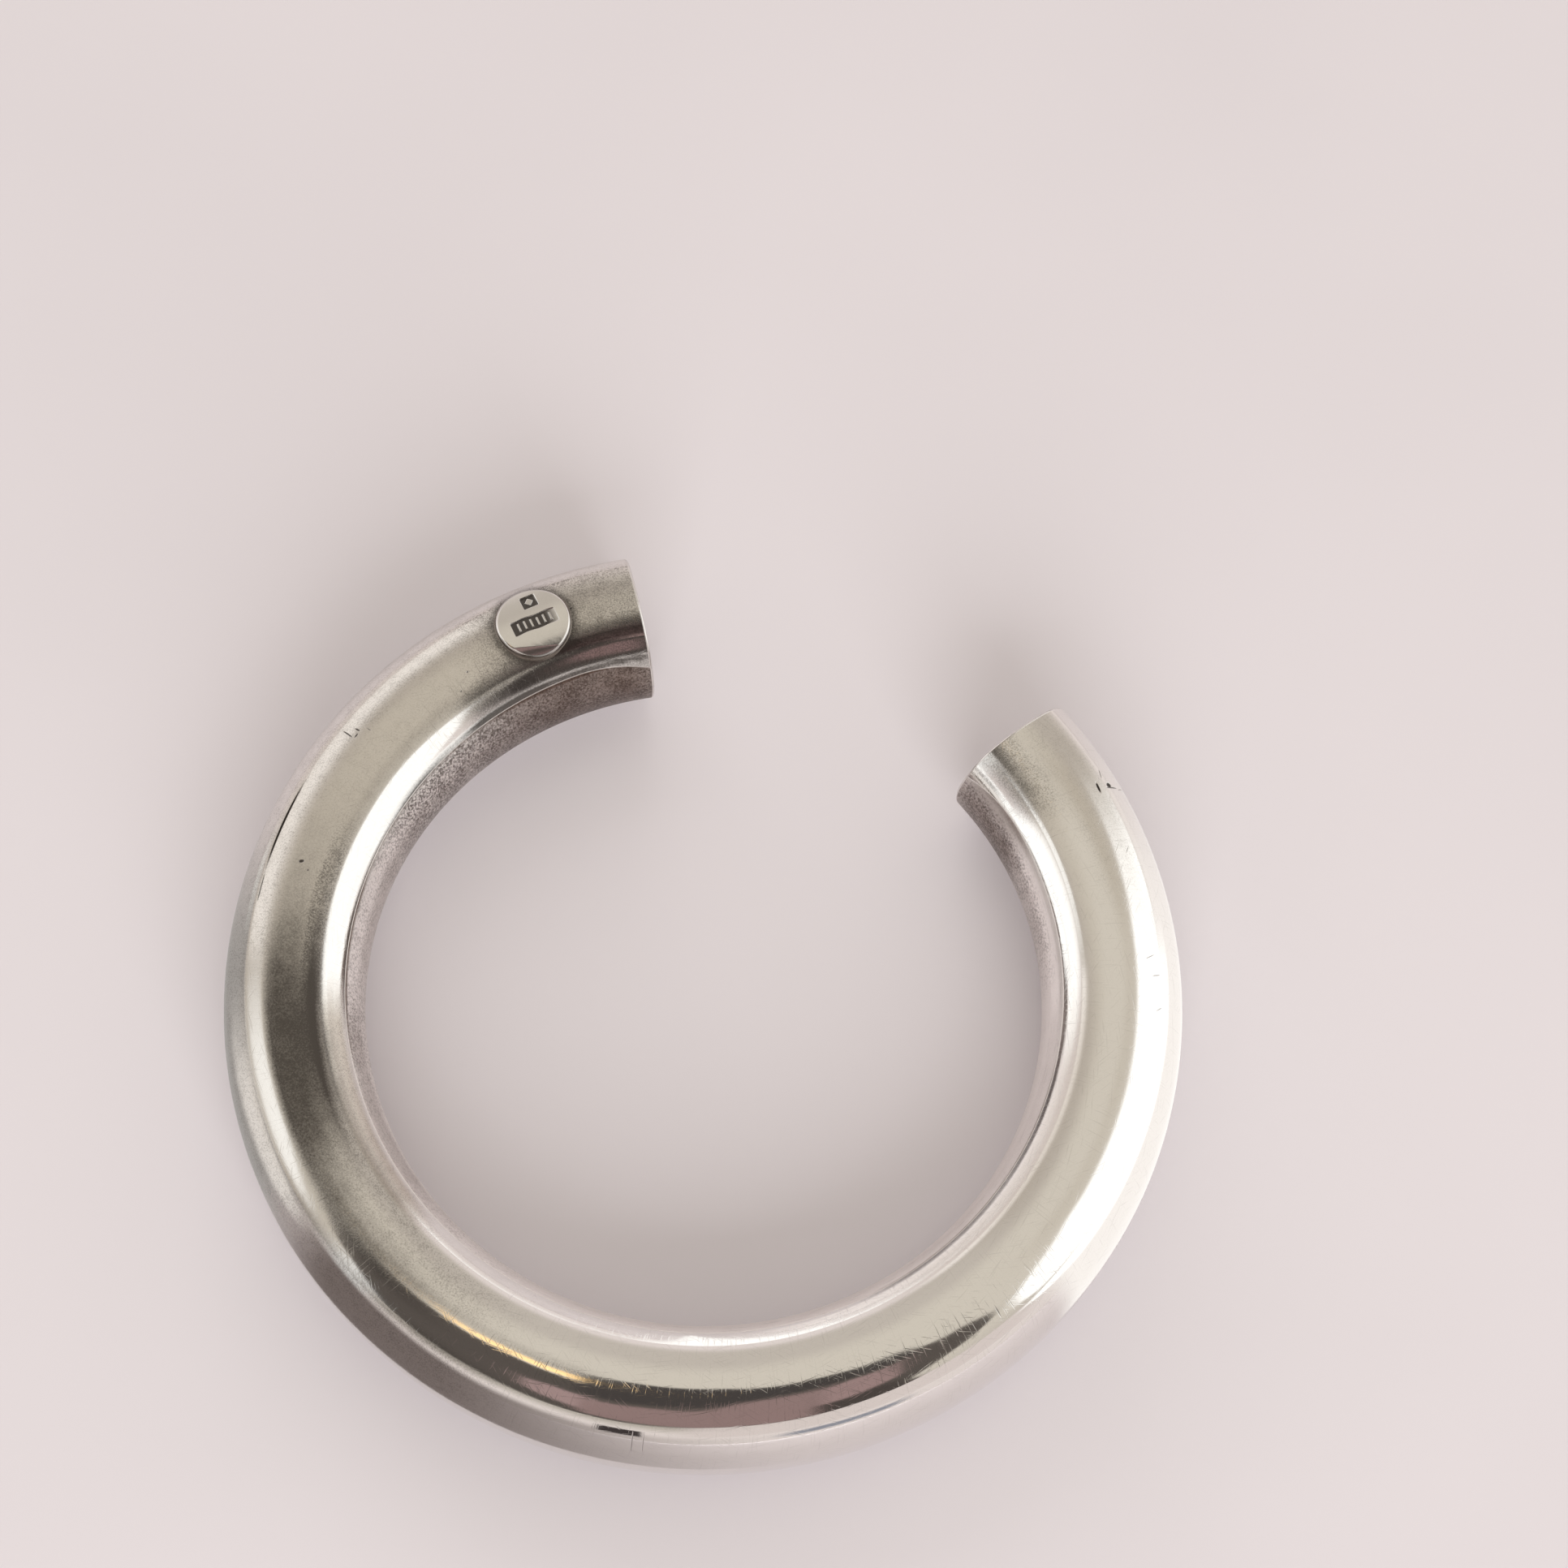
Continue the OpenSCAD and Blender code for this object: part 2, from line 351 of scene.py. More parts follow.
def make_piece(name, points, quads, material, uv=None, values=None, normals=None):
    """A mesh object from points, four-cornered faces, and for each point a UV place and named values."""
    points = np.asarray(points, np.float32).reshape(-1, 3)
    mesh = bpy.data.meshes.new(name)
    mesh.vertices.add(len(points))
    mesh.vertices.foreach_set("co", points.ravel())
    mesh.loops.add(quads.size)
    mesh.loops.foreach_set("vertex_index", quads.ravel().astype(np.int32))
    mesh.polygons.add(len(quads))
    mesh.polygons.foreach_set("loop_start", np.arange(0, quads.size, 4, dtype=np.int32))
    mesh.update(calc_edges=True)
    if uv is not None:
        layer = mesh.uv_layers.new(name="Surface")
        layer.data.foreach_set("uv", np.asarray(uv, np.float32).reshape(-1, 2)[quads.ravel()].ravel())
    for key, value in (values or {}).items():
        kept = mesh.attributes.new(key, "FLOAT", "POINT")
        kept.data.foreach_set("value", np.asarray(value, np.float32).ravel())
    mesh.shade_smooth()
    if mesh.validate(verbose=False):
        raise RuntimeError(f"{name} has faces that don't fit together")
    if normals is not None:
        mesh.normals_split_custom_set_from_vertices(np.asarray(normals, np.float32).reshape(-1, 3).tolist())
    mesh.materials.append(material)
    made = bpy.data.objects.new(name, mesh)
    bpy.context.scene.collection.objects.link(made)
    return made


def finish_piece(piece):
    """The piece rides with the ring and stands for its solid."""
    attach(piece, BODY)
    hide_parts(NODE)


def finish_round_piece(piece):
    """Joins the points that fall together at a pole, turns the faces outwards and finishes the piece."""
    mesh = bmesh.new()
    mesh.from_mesh(piece.data)
    bmesh.ops.remove_doubles(mesh, verts=mesh.verts, dist=1e-7)
    bmesh.ops.recalc_face_normals(mesh, faces=mesh.faces)
    mesh.to_mesh(piece.data)
    mesh.free()
    piece.data.shade_smooth()
    finish_piece(piece)


def sheet_piece(s, seam, facing, edge_side):
    """A bent sheet of even thickness. Its section is a loop: the outside from one seam to the other, with a
    small quarter round at both seams, and back along the inside. Facing gives the outside's directions for
    every share, and edge_side is 1 where the directions fall from the first seam to the last and -1 where
    they rise.

    Outside point = section point at that direction; quarter round = a point one edge radius under the
    surface, plus the edge radius in a direction that turns on past the seam; inside point = section point one
    sheet deeper."""
    ridged, plain = Section(s, True), Section(s, False)
    share = np.linspace(0, 1, ROWS)[:, None]
    outside = facing(share)
    # The quarter round's points turn on past the seam by these angles
    turn_on = np.radians(np.array([84, 56, 28]))
    first, last = outside[:, :1], outside[:, -1:]

    def quarter_round(at, angles):
        r, z = ridged.point(at, seam.edge)
        f = at + angles[None, :]
        return r + seam.edge * np.cos(f), z + seam.edge * np.sin(f), f

    loop = [quarter_round(first, edge_side * turn_on), (*ridged.point(outside), outside),
            quarter_round(last, -edge_side * turn_on[::-1])]
    width = sum(r.shape[1] for r, _, _ in loop)
    back = last + (first - last) * np.linspace(0, 1, width)[None, :]
    loop.append((*plain.point(back, s.sheet), back + math.pi))
    r, z, f = (np.concatenate(part, 1) for part in zip(*loop))
    points, turn = round_ring(s, r, z, share, s.rim)
    normals = round_axis(np.cos(f), np.sin(f), turn)
    uv = np.stack([turn * UV_RADIUS, ridged.run(f) / MM], -1)
    quads = cord_quads(2 * width)
    return points, quads[:, ::-1] if edge_side > 0 else quads, uv, normals, turn, f


# Surface patterns


def add(tree, kind, values=None, **settings):
    """A node with its settings and the values or links of its inputs."""
    made = tree.nodes.new(kind)
    for key, value in settings.items():
        setattr(made, key, value)
    for key, value in (values or {}).items():
        if isinstance(value, bpy.types.NodeSocket):
            tree.links.new(value, made.inputs[key])
        else:
            made.inputs[key].default_value = value
    return made


def calc(tree, operation, *values, clamp=False):
    """A Math node's result."""
    return add(tree, "ShaderNodeMath", dict(enumerate(values)), operation=operation,
               use_clamp=clamp).outputs[0]


def mixed(tree, share, first, second):
    """Two colours mixed by a share."""
    paint = [(*c, 1) if isinstance(c, (tuple, list)) else c for c in (first, second)]
    return add(tree, "ShaderNodeMix", {0: share, 6: paint[0], 7: paint[1]}, data_type="RGBA").outputs[2]


def stepped(tree, value, low, high):
    """A smooth step of a value: 0 below low and 1 above high."""
    return add(tree, "ShaderNodeMapRange", {0: value, 1: low, 2: high},
               interpolation_type="SMOOTHSTEP").outputs[0]


def vector(tree, operation, *values):
    """A Vector Math node."""
    return add(tree, "ShaderNodeVectorMath", dict(enumerate(values)), operation=operation)


def rotated(tree, place, turn):
    """A place turned round the third axis."""
    return add(tree, "ShaderNodeVectorRotate", {"Vector": place, "Angle": turn},
               rotation_type="Z_AXIS").outputs[0]


def noise(tree, place, scale, detail, roughness=0.5):
    """Fractal noise at a place."""
    return add(tree, "ShaderNodeTexNoise", {"Vector": place, "Scale": scale, "Detail": detail,
                                            "Roughness": roughness}).outputs[0]


def shared_group(name, pattern, **inputs):
    """A shader node group, made once for all materials and marks. It has a vector, named inputs with their
    defaults and a mask as its output, which pattern makes from them."""
    if name in bpy.data.node_groups:
        return bpy.data.node_groups[name]
    tree = bpy.data.node_groups.new(name, "ShaderNodeTree")
    tree.interface.new_socket(name="Vector", in_out="INPUT", socket_type="NodeSocketVector")
    for socket, default in inputs.items():
        kind = "NodeSocketFloat" if isinstance(default, float) else "NodeSocketVector"
        tree.interface.new_socket(name=socket, in_out="INPUT", socket_type=kind).default_value = default
    tree.interface.new_socket(name="Mask", in_out="OUTPUT", socket_type="NodeSocketFloat")
    given = tree.nodes.new("NodeGroupInput").outputs
    tree.links.new(pattern(tree, given), tree.nodes.new("NodeGroupOutput").inputs["Mask"])
    return tree


def tarnish_film(tree, given):
    """Cloudy film: Amount times a pattern round 1 that is made of soft clouds and fine grain, by fractal
    noise. The pattern is weaker where the film is thick."""
    cloud = noise(tree, given["Vector"], given["Scale"], detail=5.0, roughness=0.6)
    grain = noise(tree, given["Vector"], calc(tree, "MULTIPLY", given["Scale"], 20.0), detail=2.0,
                  roughness=0.7)
    pattern = calc(tree, "MULTIPLY", calc(tree, "SUBTRACT", cloud, 0.5), given["Clouds"])
    pattern = calc(tree, "MULTIPLY_ADD", calc(tree, "SUBTRACT", grain, 0.5), given["Grain"], pattern)
    thin = calc(tree, "SUBTRACT", 1.25, given["Amount"], clamp=True)
    pattern = calc(tree, "MULTIPLY_ADD", pattern, thin, 1.0)
    return calc(tree, "MULTIPLY", pattern, given["Amount"], clamp=True)


def hairlines(tree, given):
    """Fine rubbing lines: noise drawn out long in one direction and cut so that only its peaks stay."""
    turned = rotated(tree, given["Vector"], given["Angle"])
    stretch = add(tree, "ShaderNodeCombineXYZ", {"X": given["Stretch"], "Y": 1.0, "Z": 1.0}).outputs[0]
    drawn = vector(tree, "MULTIPLY", turned, stretch).outputs[0]
    return stepped(tree, noise(tree, drawn, given["Fineness"], detail=2.0, roughness=0.6), 0.58, 0.72)


def worn_grain(tree, given):
    """Fine worn grain: small noise cut to specks, more and stronger ones where Amount is high."""
    specks = noise(tree, given["Vector"], given["Scale"], detail=3.0, roughness=0.75)
    patches = noise(tree, given["Vector"], calc(tree, "MULTIPLY", given["Scale"], 0.14), detail=2.0)
    both = calc(tree, "MULTIPLY_ADD", calc(tree, "SUBTRACT", patches, 0.5), 0.22, specks)
    both = calc(tree, "MULTIPLY_ADD", given["Amount"], 0.12, both)
    return calc(tree, "MULTIPLY", stepped(tree, both, 0.48, 0.76), given["Amount"], clamp=True)


def surface_mark(tree, given):
    """One mark on the surface: an oval at Place, turned by Angle, that is 1 inside and fades over its rim."""
    moved = vector(tree, "SUBTRACT", given["Vector"], given["Place"]).outputs[0]
    sized = vector(tree, "DIVIDE", rotated(tree, moved, given["Angle"]), given["Size"]).outputs[0]
    far = vector(tree, "LENGTH", sized).outputs["Value"]
    inner = calc(tree, "SUBTRACT", 1.0, given["Rim"])
    return calc(tree, "SUBTRACT", 1.0, stepped(tree, far, inner, 1.0), clamp=True)


def emptied(holder):
    """The node tree of a material or a world, without its first nodes."""
    holder.use_nodes = True
    holder.node_tree.nodes.clear()
    return holder.node_tree


def new_material(name):
    """An empty material with its output and a Principled shader."""
    material = bpy.data.materials.new(name)
    tree = emptied(material)
    shader = tree.nodes.new("ShaderNodeBsdfPrincipled")
    tree.links.new(shader.outputs[0], add(tree, "ShaderNodeOutputMaterial").inputs[0])
    return material, tree, shader


def object_place(tree):
    """The place in the object's own coordinates."""
    return add(tree, "ShaderNodeTexCoord").outputs["Object"]


def flat_place(tree):
    """The place on the UV map."""
    return add(tree, "ShaderNodeUVMap", uv_map="Surface").outputs[0]


def held_value(tree, name):
    """A value that the mesh holds for each point."""
    return add(tree, "ShaderNodeAttribute", attribute_name=name).outputs["Fac"]


def group_node(tree, group, *values):
    """A group's mask in a tree, with the values or links of its inputs in their order."""
    return add(tree, "ShaderNodeGroup", dict(enumerate(values)), node_tree=group).outputs[0]


def film_at(tree, place, amount, scale, clouds, grain):
    """The tarnish film's mask at a place, with the weights of its clouds and its grain."""
    group = shared_group("Tarnish film", tarnish_film, Amount=0.5, Scale=300.0, Clouds=1.0, Grain=0.5)
    return group_node(tree, group, place, amount, scale, clouds, grain)


def lines_at(tree, place, degrees, fineness, stretch):
    """The hairlines' mask at a place, for lines in this direction."""
    group = shared_group("Hairlines", hairlines, Angle=0.0, Fineness=6.0, Stretch=0.05)
    return group_node(tree, group, place, math.radians(degrees), fineness, stretch)


def grain_at(tree, place, scale):
    """The worn grain's mask at a place, where the mesh holds its amount."""
    group = shared_group("Worn grain", worn_grain, Amount=0.3, Scale=4500.0)
    return group_node(tree, group, place, held_value(tree, "grain"), scale)


def mark_at(tree, *values):
    """One mark's mask from a place, the mark's own place, its turn, half its size and its rim."""
    group = shared_group("Surface mark", surface_mark, Place=(0, 0, 0), Angle=0.0, Size=(1, 1, 1), Rim=0.4)
    return group_node(tree, group, *values)


def tinted(tree, colour, *layers):
    """A colour under layers, each a mask, its strength and the layer's colour."""
    for mask, strength, paint in layers:
        share = mask if strength == 1 else calc(tree, "MULTIPLY", mask, strength)
        colour = mixed(tree, share, colour, tuple(paint))
    return colour


def summed(tree, value, *parts):
    """A value plus each mask times its weight."""
    for mask, weight in parts:
        value = calc(tree, "MULTIPLY_ADD", mask, weight, value)
    return value


def most(tree, masks):
    """The greatest of several masks."""
    first, *others = masks
    for mask in others:
        first = calc(tree, "MAXIMUM", first, mask)
    return first


def bumpy(tree, place, scale, detail, tall):
    """Noise as a relief of this height, in millimetres."""
    return calc(tree, "MULTIPLY", noise(tree, place, scale, detail), tall)


def finish_metal(tree, shader, colour, rough, height):
    """Metal of this colour and roughness, with a relief in millimetres."""
    tree.links.new(colour, shader.inputs["Base Color"])
    shader.inputs["Metallic"].default_value = 1.0
    tree.links.new(calc(tree, "MINIMUM", rough, 1.0), shader.inputs["Roughness"])
    bump = add(tree, "ShaderNodeBump", {"Height": height, "Distance": MM, "Strength": 1.0})
    tree.links.new(bump.outputs[0], shader.inputs["Normal"])


MARK_COLOUR = (0.03, 0.025, 0.02)
# Single marks on the shell: turn, facing, length and width in mm, angle, darkness
SHELL_MARKS = (
    (184.0, 88.0, 0.55, 0.30, 60, 0.9),
    (185.0, 93.0, 0.20, 0.20, 0, 0.6),
    (407.3, 73.0, 1.10, 0.26, 6, 1.0),
    (407.2, 53.0, 0.60, 0.55, 30, 0.95),
    (409.0, 56.0, 0.90, 0.12, 20, 0.6),
    (406.8, 50.0, 0.16, 1.50, 8, 0.75),
    (406.5, 33.0, 0.12, 1.10, -6, 0.4),
    (179.5, 69.2, 8.60, 0.26, 0, 1.0),
    (188.5, 69.6, 2.40, 0.14, 0, 0.7),
    (164.9, 74.6, 0.13, 1.30, 4, 0.8),
    (164.5, 79.4, 0.48, 0.14, 0, 0.9),
    (163.7, 77.7, 0.14, 0.52, -5, 0.9),
    (162.8, 83.0, 0.09, 0.50, 0, 0.5),
    (383.0, 75.0, 0.90, 0.07, 65, 0.5),
    (380.5, 72.0, 0.70, 0.07, 80, 0.5),
    (376.0, 70.5, 0.60, 0.07, 55, 0.45),
    (398.0, 73.5, 0.80, 0.06, 40, 0.4),
    (281.7, 32.0, 0.10, 2.60, 0, 0.35),
    (283.0, 33.0, 0.08, 2.40, 0, 0.3),
    (147.0, 96.0, 0.25, 0.20, 0, 0.6),
    (149.5, 103.0, 0.20, 0.16, 0, 0.6),
    (129.5, 88.0, 0.26, 0.18, 0, 0.7),
)


def polished_silver(s, f):
    """Polished silver with a warm film, dark tarnish and grain in zones, hairlines and single marks. In a few
    zones the film and the tarnish are painted reflections, and round the mark plate the tarnish is partly
    painted shade.
    """
    material, tree, shader = new_material("polished_silver")
    section = Section(s, True)
    place = object_place(tree)
    flat = flat_place(tree)
    # The warm film is toning, and in a thin stripe along the right arm's crown it is painted reflection
    film = film_at(tree, place, held_value(tree, "toning"), scale=150.0, clouds=0.55, grain=0.35)
    # The dark film is tarnish, and in places painted reflection of a dark object and painted shade round the
    # plate's foot
    dark = film_at(tree, place, held_value(tree, "tarnish_and_painted_light"), scale=360.0, clouds=1.0, grain=1.9)
    # Hairlines in three directions: degrees, fineness and stretch
    directions = ((84, 7.0, 0.05), (12, 6.0, 0.06), (-38, 6.5, 0.08))
    hair = most(tree, [lines_at(tree, flat, *line) for line in directions])
    grain = grain_at(tree, place, scale=7600.0)
    marks = []
    for turn, facing, long, wide, tilt, depth in SHELL_MARKS:
        where = (math.radians(turn) * UV_RADIUS, float(section.run(math.radians(facing)) / MM), 0.0)
        mark = mark_at(tree, flat, where, math.radians(-tilt), (long / 2, wide / 2, 1.0), 0.5)
        marks.append(calc(tree, "MULTIPLY", mark, depth))
    marks = most(tree, marks)
    colour = tinted(tree, tuple(f.silver), (film, 1, f.toning), (grain, 0.75, f.tarnish_and_painted_light),
                    (dark, 1, f.tarnish_and_painted_light), (hair, 0.10, f.tarnish_and_painted_light), (marks, 1, MARK_COLOUR))
    rough = summed(tree, f.gloss, (film, 0.15), (grain, 0.08), (dark, 0.06), (hair, 0.04), (marks, 0.3))
    height = summed(tree, bumpy(tree, place, scale=130.0, detail=1.0, tall=0.05), (hair, -0.0012),
                    (grain, -0.0015), (dark, -0.003), (marks, -0.05))
    finish_metal(tree, shader, colour, rough, height)
    return material


def satin_band(f):
    """Satin silver under a mottled brown film, with fine lines along the ring. Where the film is thinned in
    two zones it paints satin highlights.
    """
    material, tree, shader = new_material("satin_band")
    place = object_place(tree)
    flat = flat_place(tree)
    # The film's amount is lower in two zones along the band's upper part, which paints highlights there
    film = film_at(tree, place, held_value(tree, "tarnish_and_painted_light"), scale=330.0, clouds=1.0, grain=0.8)
    specks = grain_at(tree, place, scale=5200.0)
    lines = lines_at(tree, flat, 0.0, fineness=7.0, stretch=0.05)
    colour = tinted(tree, tuple(f.band), (film, 1, f.band_tarnish),
                    (specks, 0.85, [0.42 * c for c in f.band_tarnish]), (lines, 0.25, f.tarnish_and_painted_light))
    height = summed(tree, bumpy(tree, place, scale=2600.0, detail=3.0, tall=0.012), (lines, -0.004))
    finish_metal(tree, shader, colour, summed(tree, f.satin, (film, 0.12)), height)
    return material


def end_silver(f):
    """Filed and polished silver of the end caps, with a brownish film towards the middle."""
    material, tree, shader = new_material("end_silver")
    place = object_place(tree)
    film = film_at(tree, place, held_value(tree, "tarnish_and_painted_light"), scale=300.0, clouds=0.8, grain=0.6)
    in_mm = add(tree, "ShaderNodeVectorMath", {0: place, 3: 1 / MM}, operation="SCALE").outputs[0]
    lines = lines_at(tree, in_mm, 0.0, fineness=3.0, stretch=0.3)
    colour = tinted(tree, tuple(f.silver), (film, 0.8, f.band_tarnish), (lines, 0.2, f.tarnish_and_painted_light))
    finish_metal(tree, shader, colour, summed(tree, 0.14, (film, 0.2)), calc(tree, "MULTIPLY", lines, -0.004))
    return material


def plate_silver(f):
    """Polished silver of the mark plate, dark in its recesses, and with painted shade down its side towards
    its foot.
    """
    material, tree, shader = new_material("plate_silver")
    place = object_place(tree)
    film = film_at(tree, place, amount=0.25, scale=420.0, clouds=1.0, grain=0.8)
    # The dark film is patina in the stamped recesses, and painted shade down the plate's side
    dark = film_at(tree, place, held_value(tree, "tarnish_and_painted_light"), scale=900.0, clouds=0.5, grain=0.5)
    colour = tinted(tree, tuple(f.silver), (film, 1, f.toning), (dark, 1, f.tarnish_and_painted_light))
    height = bumpy(tree, place, scale=1500.0, detail=2.0, tall=0.004)
    finish_metal(tree, shader, colour, summed(tree, 0.1, (dark, 0.35)), height)
    return material


def dull_solder(f):
    """Grey-brown solder with a grainy skin."""
    material, tree, shader = new_material("dull_solder")
    place = object_place(tree)
    film = film_at(tree, place, amount=0.75, scale=500.0, clouds=0.8, grain=1.0)
    colour = tinted(tree, tuple(f.toning), (film, 1, f.solder))
    height = bumpy(tree, place, scale=2200.0, detail=3.0, tall=0.03)
    finish_metal(tree, shader, colour, summed(tree, 0.3, (film, 0.2)), height)
    return material


# Pieces


# Where films and grain lie on the two sheets: for each a base value and the zones where there is more of it,
# and on the band a few where there is less.
# Some zones are painted light rather than film: painted reflections on the shell and painted highlights on
# the band.
# A zone is given by first and last turn, first and last facing, their soft borders, and its height
SHELL_FILMS_AND_PAINTED_REFLECTIONS = {"toning": (0.10, (
    (118, 222, 78, 108, 18, 8, 0.36), (112, 252, 0, 142, 36, 20, 0.15), (118, 236, 52, 76, 14, 10, 0.22),
    (406, 426, 64, 114, 12, 8, 0.22), (390, 416, 72, 92, 14, 8, 0.26), (400, 426, 0, 66, 14, 6, 0.10),
    # On the next line, the last zone is a thin darker stripe along the right arm's crown: painted reflection,
    # not toning
    (222, 262, 84, 108, 16, 8, 0.10), (322, 374, 111, 134, 20, 8, 0.36), (338, 408, 83.5, 90, 14, 4, 0.20),
    (338, 412, 103, 122, 16, 10, 0.30), (204, 241, 112, 138, 9, 8, 0.80),
)), "tarnish_and_painted_light": (0.01, (
    # The first zone on the next line is the dark patch on the left arm's crown: painted reflection of a dark
    # object, not tarnish
    (197, 226, 79.5, 107, 24, 3, 0.92), (194, 222, 106, 115, 18, 8, 0.62), (229, 250, 77, 89, 18, 5, 0.42),
    (208, 240, 112, 128, 9, 8, 0.28), (218, 248, 79, 96, 14, 8, 0.26), (182, 202, 82, 97, 14, 6, 0.16),
    (230, 262, 54, 70, 12, 6, 0.42), (262, 292, 56, 68, 14, 6, 0.20), (150, 206, 103, 112, 10, 5, 0.16),
    (176, 204, 84, 108, 26, 5, 0.14), (116, 142, 78, 104, 8, 8, 0.16), (112, 133, 105.5, 117, 6, 3, 0.88),
    (138, 151, 106, 139, 6, 6, 0.50), (116, 152, 137, 155, 8, 2, 0.50), (409, 420, 106, 134, 7, 12, 0.38),
    (318, 366, 137.6, 142, 14, 1.5, 0.66), (118, 170, 136, 142, 12, 1.5, 0.45),
    (160, 207, 139.3, 143, 10, 1.5, 0.60), (246, 276, 86, 91, 10, 4, 0.20),
)), "grain": (0.06, (
    (116, 144, 58, 106, 10, 8, 0.70), (116, 150, 104, 155, 10, 6, 0.45), (142, 204, 76, 110, 14, 8, 0.24),
    (178, 206, 99, 112, 14, 4, 0.70), (144, 200, 66, 80, 14, 6, 0.34), (196, 226, 80, 110, 14, 8, 0.25),
    (220, 262, 89, 110, 16, 6, 0.50), (196, 264, 0, 66, 14, 8, 0.45), (116, 196, 0, 66, 14, 8, 0.40),
    (407, 422, 96, 132, 8, 8, 0.60), (392, 428, 66, 96, 14, 10, 0.24), (204, 246, 108, 140, 12, 8, 0.40),
))}
BAND_FILMS_AND_PAINTED_HIGHLIGHTS = {"tarnish_and_painted_light": (0.10, (
    (112, 148, 138, 222, 26, 16, 0.76), (150, 200, 160, 195, 20, 12, 0.24),
    # This zone has negative height: it thins the brown film to paint a satin highlight
    (165, 204, 144, 157, 14, 6, -0.10),
    (206, 242, 141, 162, 16, 12, 0.34), (326, 372, 141, 156, 16, 6, 0.12), (385, 424, 160, 222, 20, 10, 0.22),
    # The last zone on the next line has negative height: it thins the film to paint a satin highlight
    (404, 421, 138, 222, 10, 10, 0.44), (376, 420, 141, 146, 16, 4, 0.20), (378, 408, 146, 156, 10, 5, -0.26),
    (318, 366, 138, 142.6, 14, 1.5, 0.66), (118, 206, 138, 143, 10, 2, 0.55),
    (182, 212, 138.5, 143.5, 10, 2, 0.45),
)), "grain": (0.08, (
    (112, 172, 138, 222, 20, 8, 0.92), (170, 215, 141, 200, 24, 8, 0.50), (205, 256, 138, 200, 24, 8, 0.34),
    (384, 424, 152, 222, 16, 10, 0.62), (403, 422, 138, 222, 10, 8, 0.24),
))}


def film_values(turn, facing, films):
    """Each film's value at every point: its base plus its soft-edged zones. A zone is its height times a
    smooth step over its soft border in the turn, times another in the facing."""
    turn, facing = np.degrees(turn), np.degrees(facing)
    values = {}
    for name, (base, zones) in films.items():
        total = np.zeros(np.broadcast(turn, facing).shape)
        for t0, t1, f0, f1, soft_turn, soft_facing, tall in zones:
            along = np.abs((turn - (t0 + t1) / 2 + 180) % 360 - 180)
            across = np.abs(facing - (f0 + f1) / 2)
            total += (tall * smooth_step(((t1 - t0) / 2 - along) / soft_turn + 0.5)
                      * smooth_step(((f1 - f0) / 2 - across) / soft_facing + 0.5))
        values[name] = base + total
    return values


def plate_middle(s, p):
    """Where the mark plate's middle lies over the ground."""
    return (s.outer_radius - s.tube_depth + s.crown_out + p.out) * unit(p.turn)


def build_outer_shell(s, seam, p, f):
    """The domed outer shell, from seam to seam over the crown, the ridge, the outer face and the foot."""
    base = Section(s, True).spread(seam.place, -seam.place, SHELL_COLUMNS)
    # From this direction on, the points follow the seam's bend
    hold = math.radians(112)

    def facing(share):
        stretch = (seam_facing(s, seam, share) - hold) / (seam.place - hold)
        return np.sign(base) * np.where(np.abs(base) > hold, hold + (np.abs(base) - hold) * stretch,
                                        np.abs(base))

    points, quads, uv, normals, turn, f_dir = sheet_piece(s, seam, facing, 1)
    values = film_values(turn, f_dir, SHELL_FILMS_AND_PAINTED_REFLECTIONS)
    # Dark film and grain round the plate, fading within about half a millimetre: partly tarnish and partly
    # painted shade at the plate's foot
    off_plate = np.linalg.norm(points[..., :2] - plate_middle(s, p), axis=-1) / MM
    past_edge = np.maximum(off_plate - p.radius / MM, 0)
    plate_halo_tarnish_and_shade = np.exp(-(past_edge / 0.55)**2) * (f_dir > 0) * (f_dir < math.pi)
    values["tarnish_and_painted_light"] += 0.72 * plate_halo_tarnish_and_shade
    values["grain"] += 0.5 * plate_halo_tarnish_and_shade
    finish_piece(make_piece("outer_shell", points, quads, polished_silver(s, f), uv, values, normals))


def build_inner_band(s, seam, f):
    """The band that closes the shell towards the wrist."""
    shift = seam.gap / s.band_radius
    start = seam.place + shift
    base = Section(s, True).spread(start, 2 * math.pi - start, BAND_COLUMNS)

    def facing(share):
        edge = seam_facing(s, seam, share) + shift
        return math.pi + (base - math.pi) * (math.pi - edge) / (math.pi - start)

    points, quads, uv, normals, turn, f_dir = sheet_piece(s, seam, facing, -1)
    values = film_values(turn, f_dir % (2 * math.pi), BAND_FILMS_AND_PAINTED_HIGHLIGHTS)
    finish_piece(make_piece("inner_band", points, quads, satin_band(f), uv, values, normals))


def build_seams(s, seam, f):
    """Two solder beads, each a thin round cord swept along a seam a little under the surface."""
    section = Section(s, True)
    material = dull_solder(f)
    share = np.linspace(0, 1, ROWS)[:, None]
    around = np.linspace(0, 2 * math.pi, BEAD_SIDES, endpoint=False)[None, :]
    for name, side in (("seam_upper", 1), ("seam_lower", -1)):
        facing = side * (seam_facing(s, seam, share) + 0.5 * seam.gap / s.band_radius)
        r, z = section.point(facing, seam.bead_depth)
        r, z = r + seam.bead * np.cos(around), z + seam.bead * np.sin(around)
        finish_piece(make_piece(name, round_ring(s, r, z, share, s.rim)[0], cord_quads(BEAD_SIDES), material))


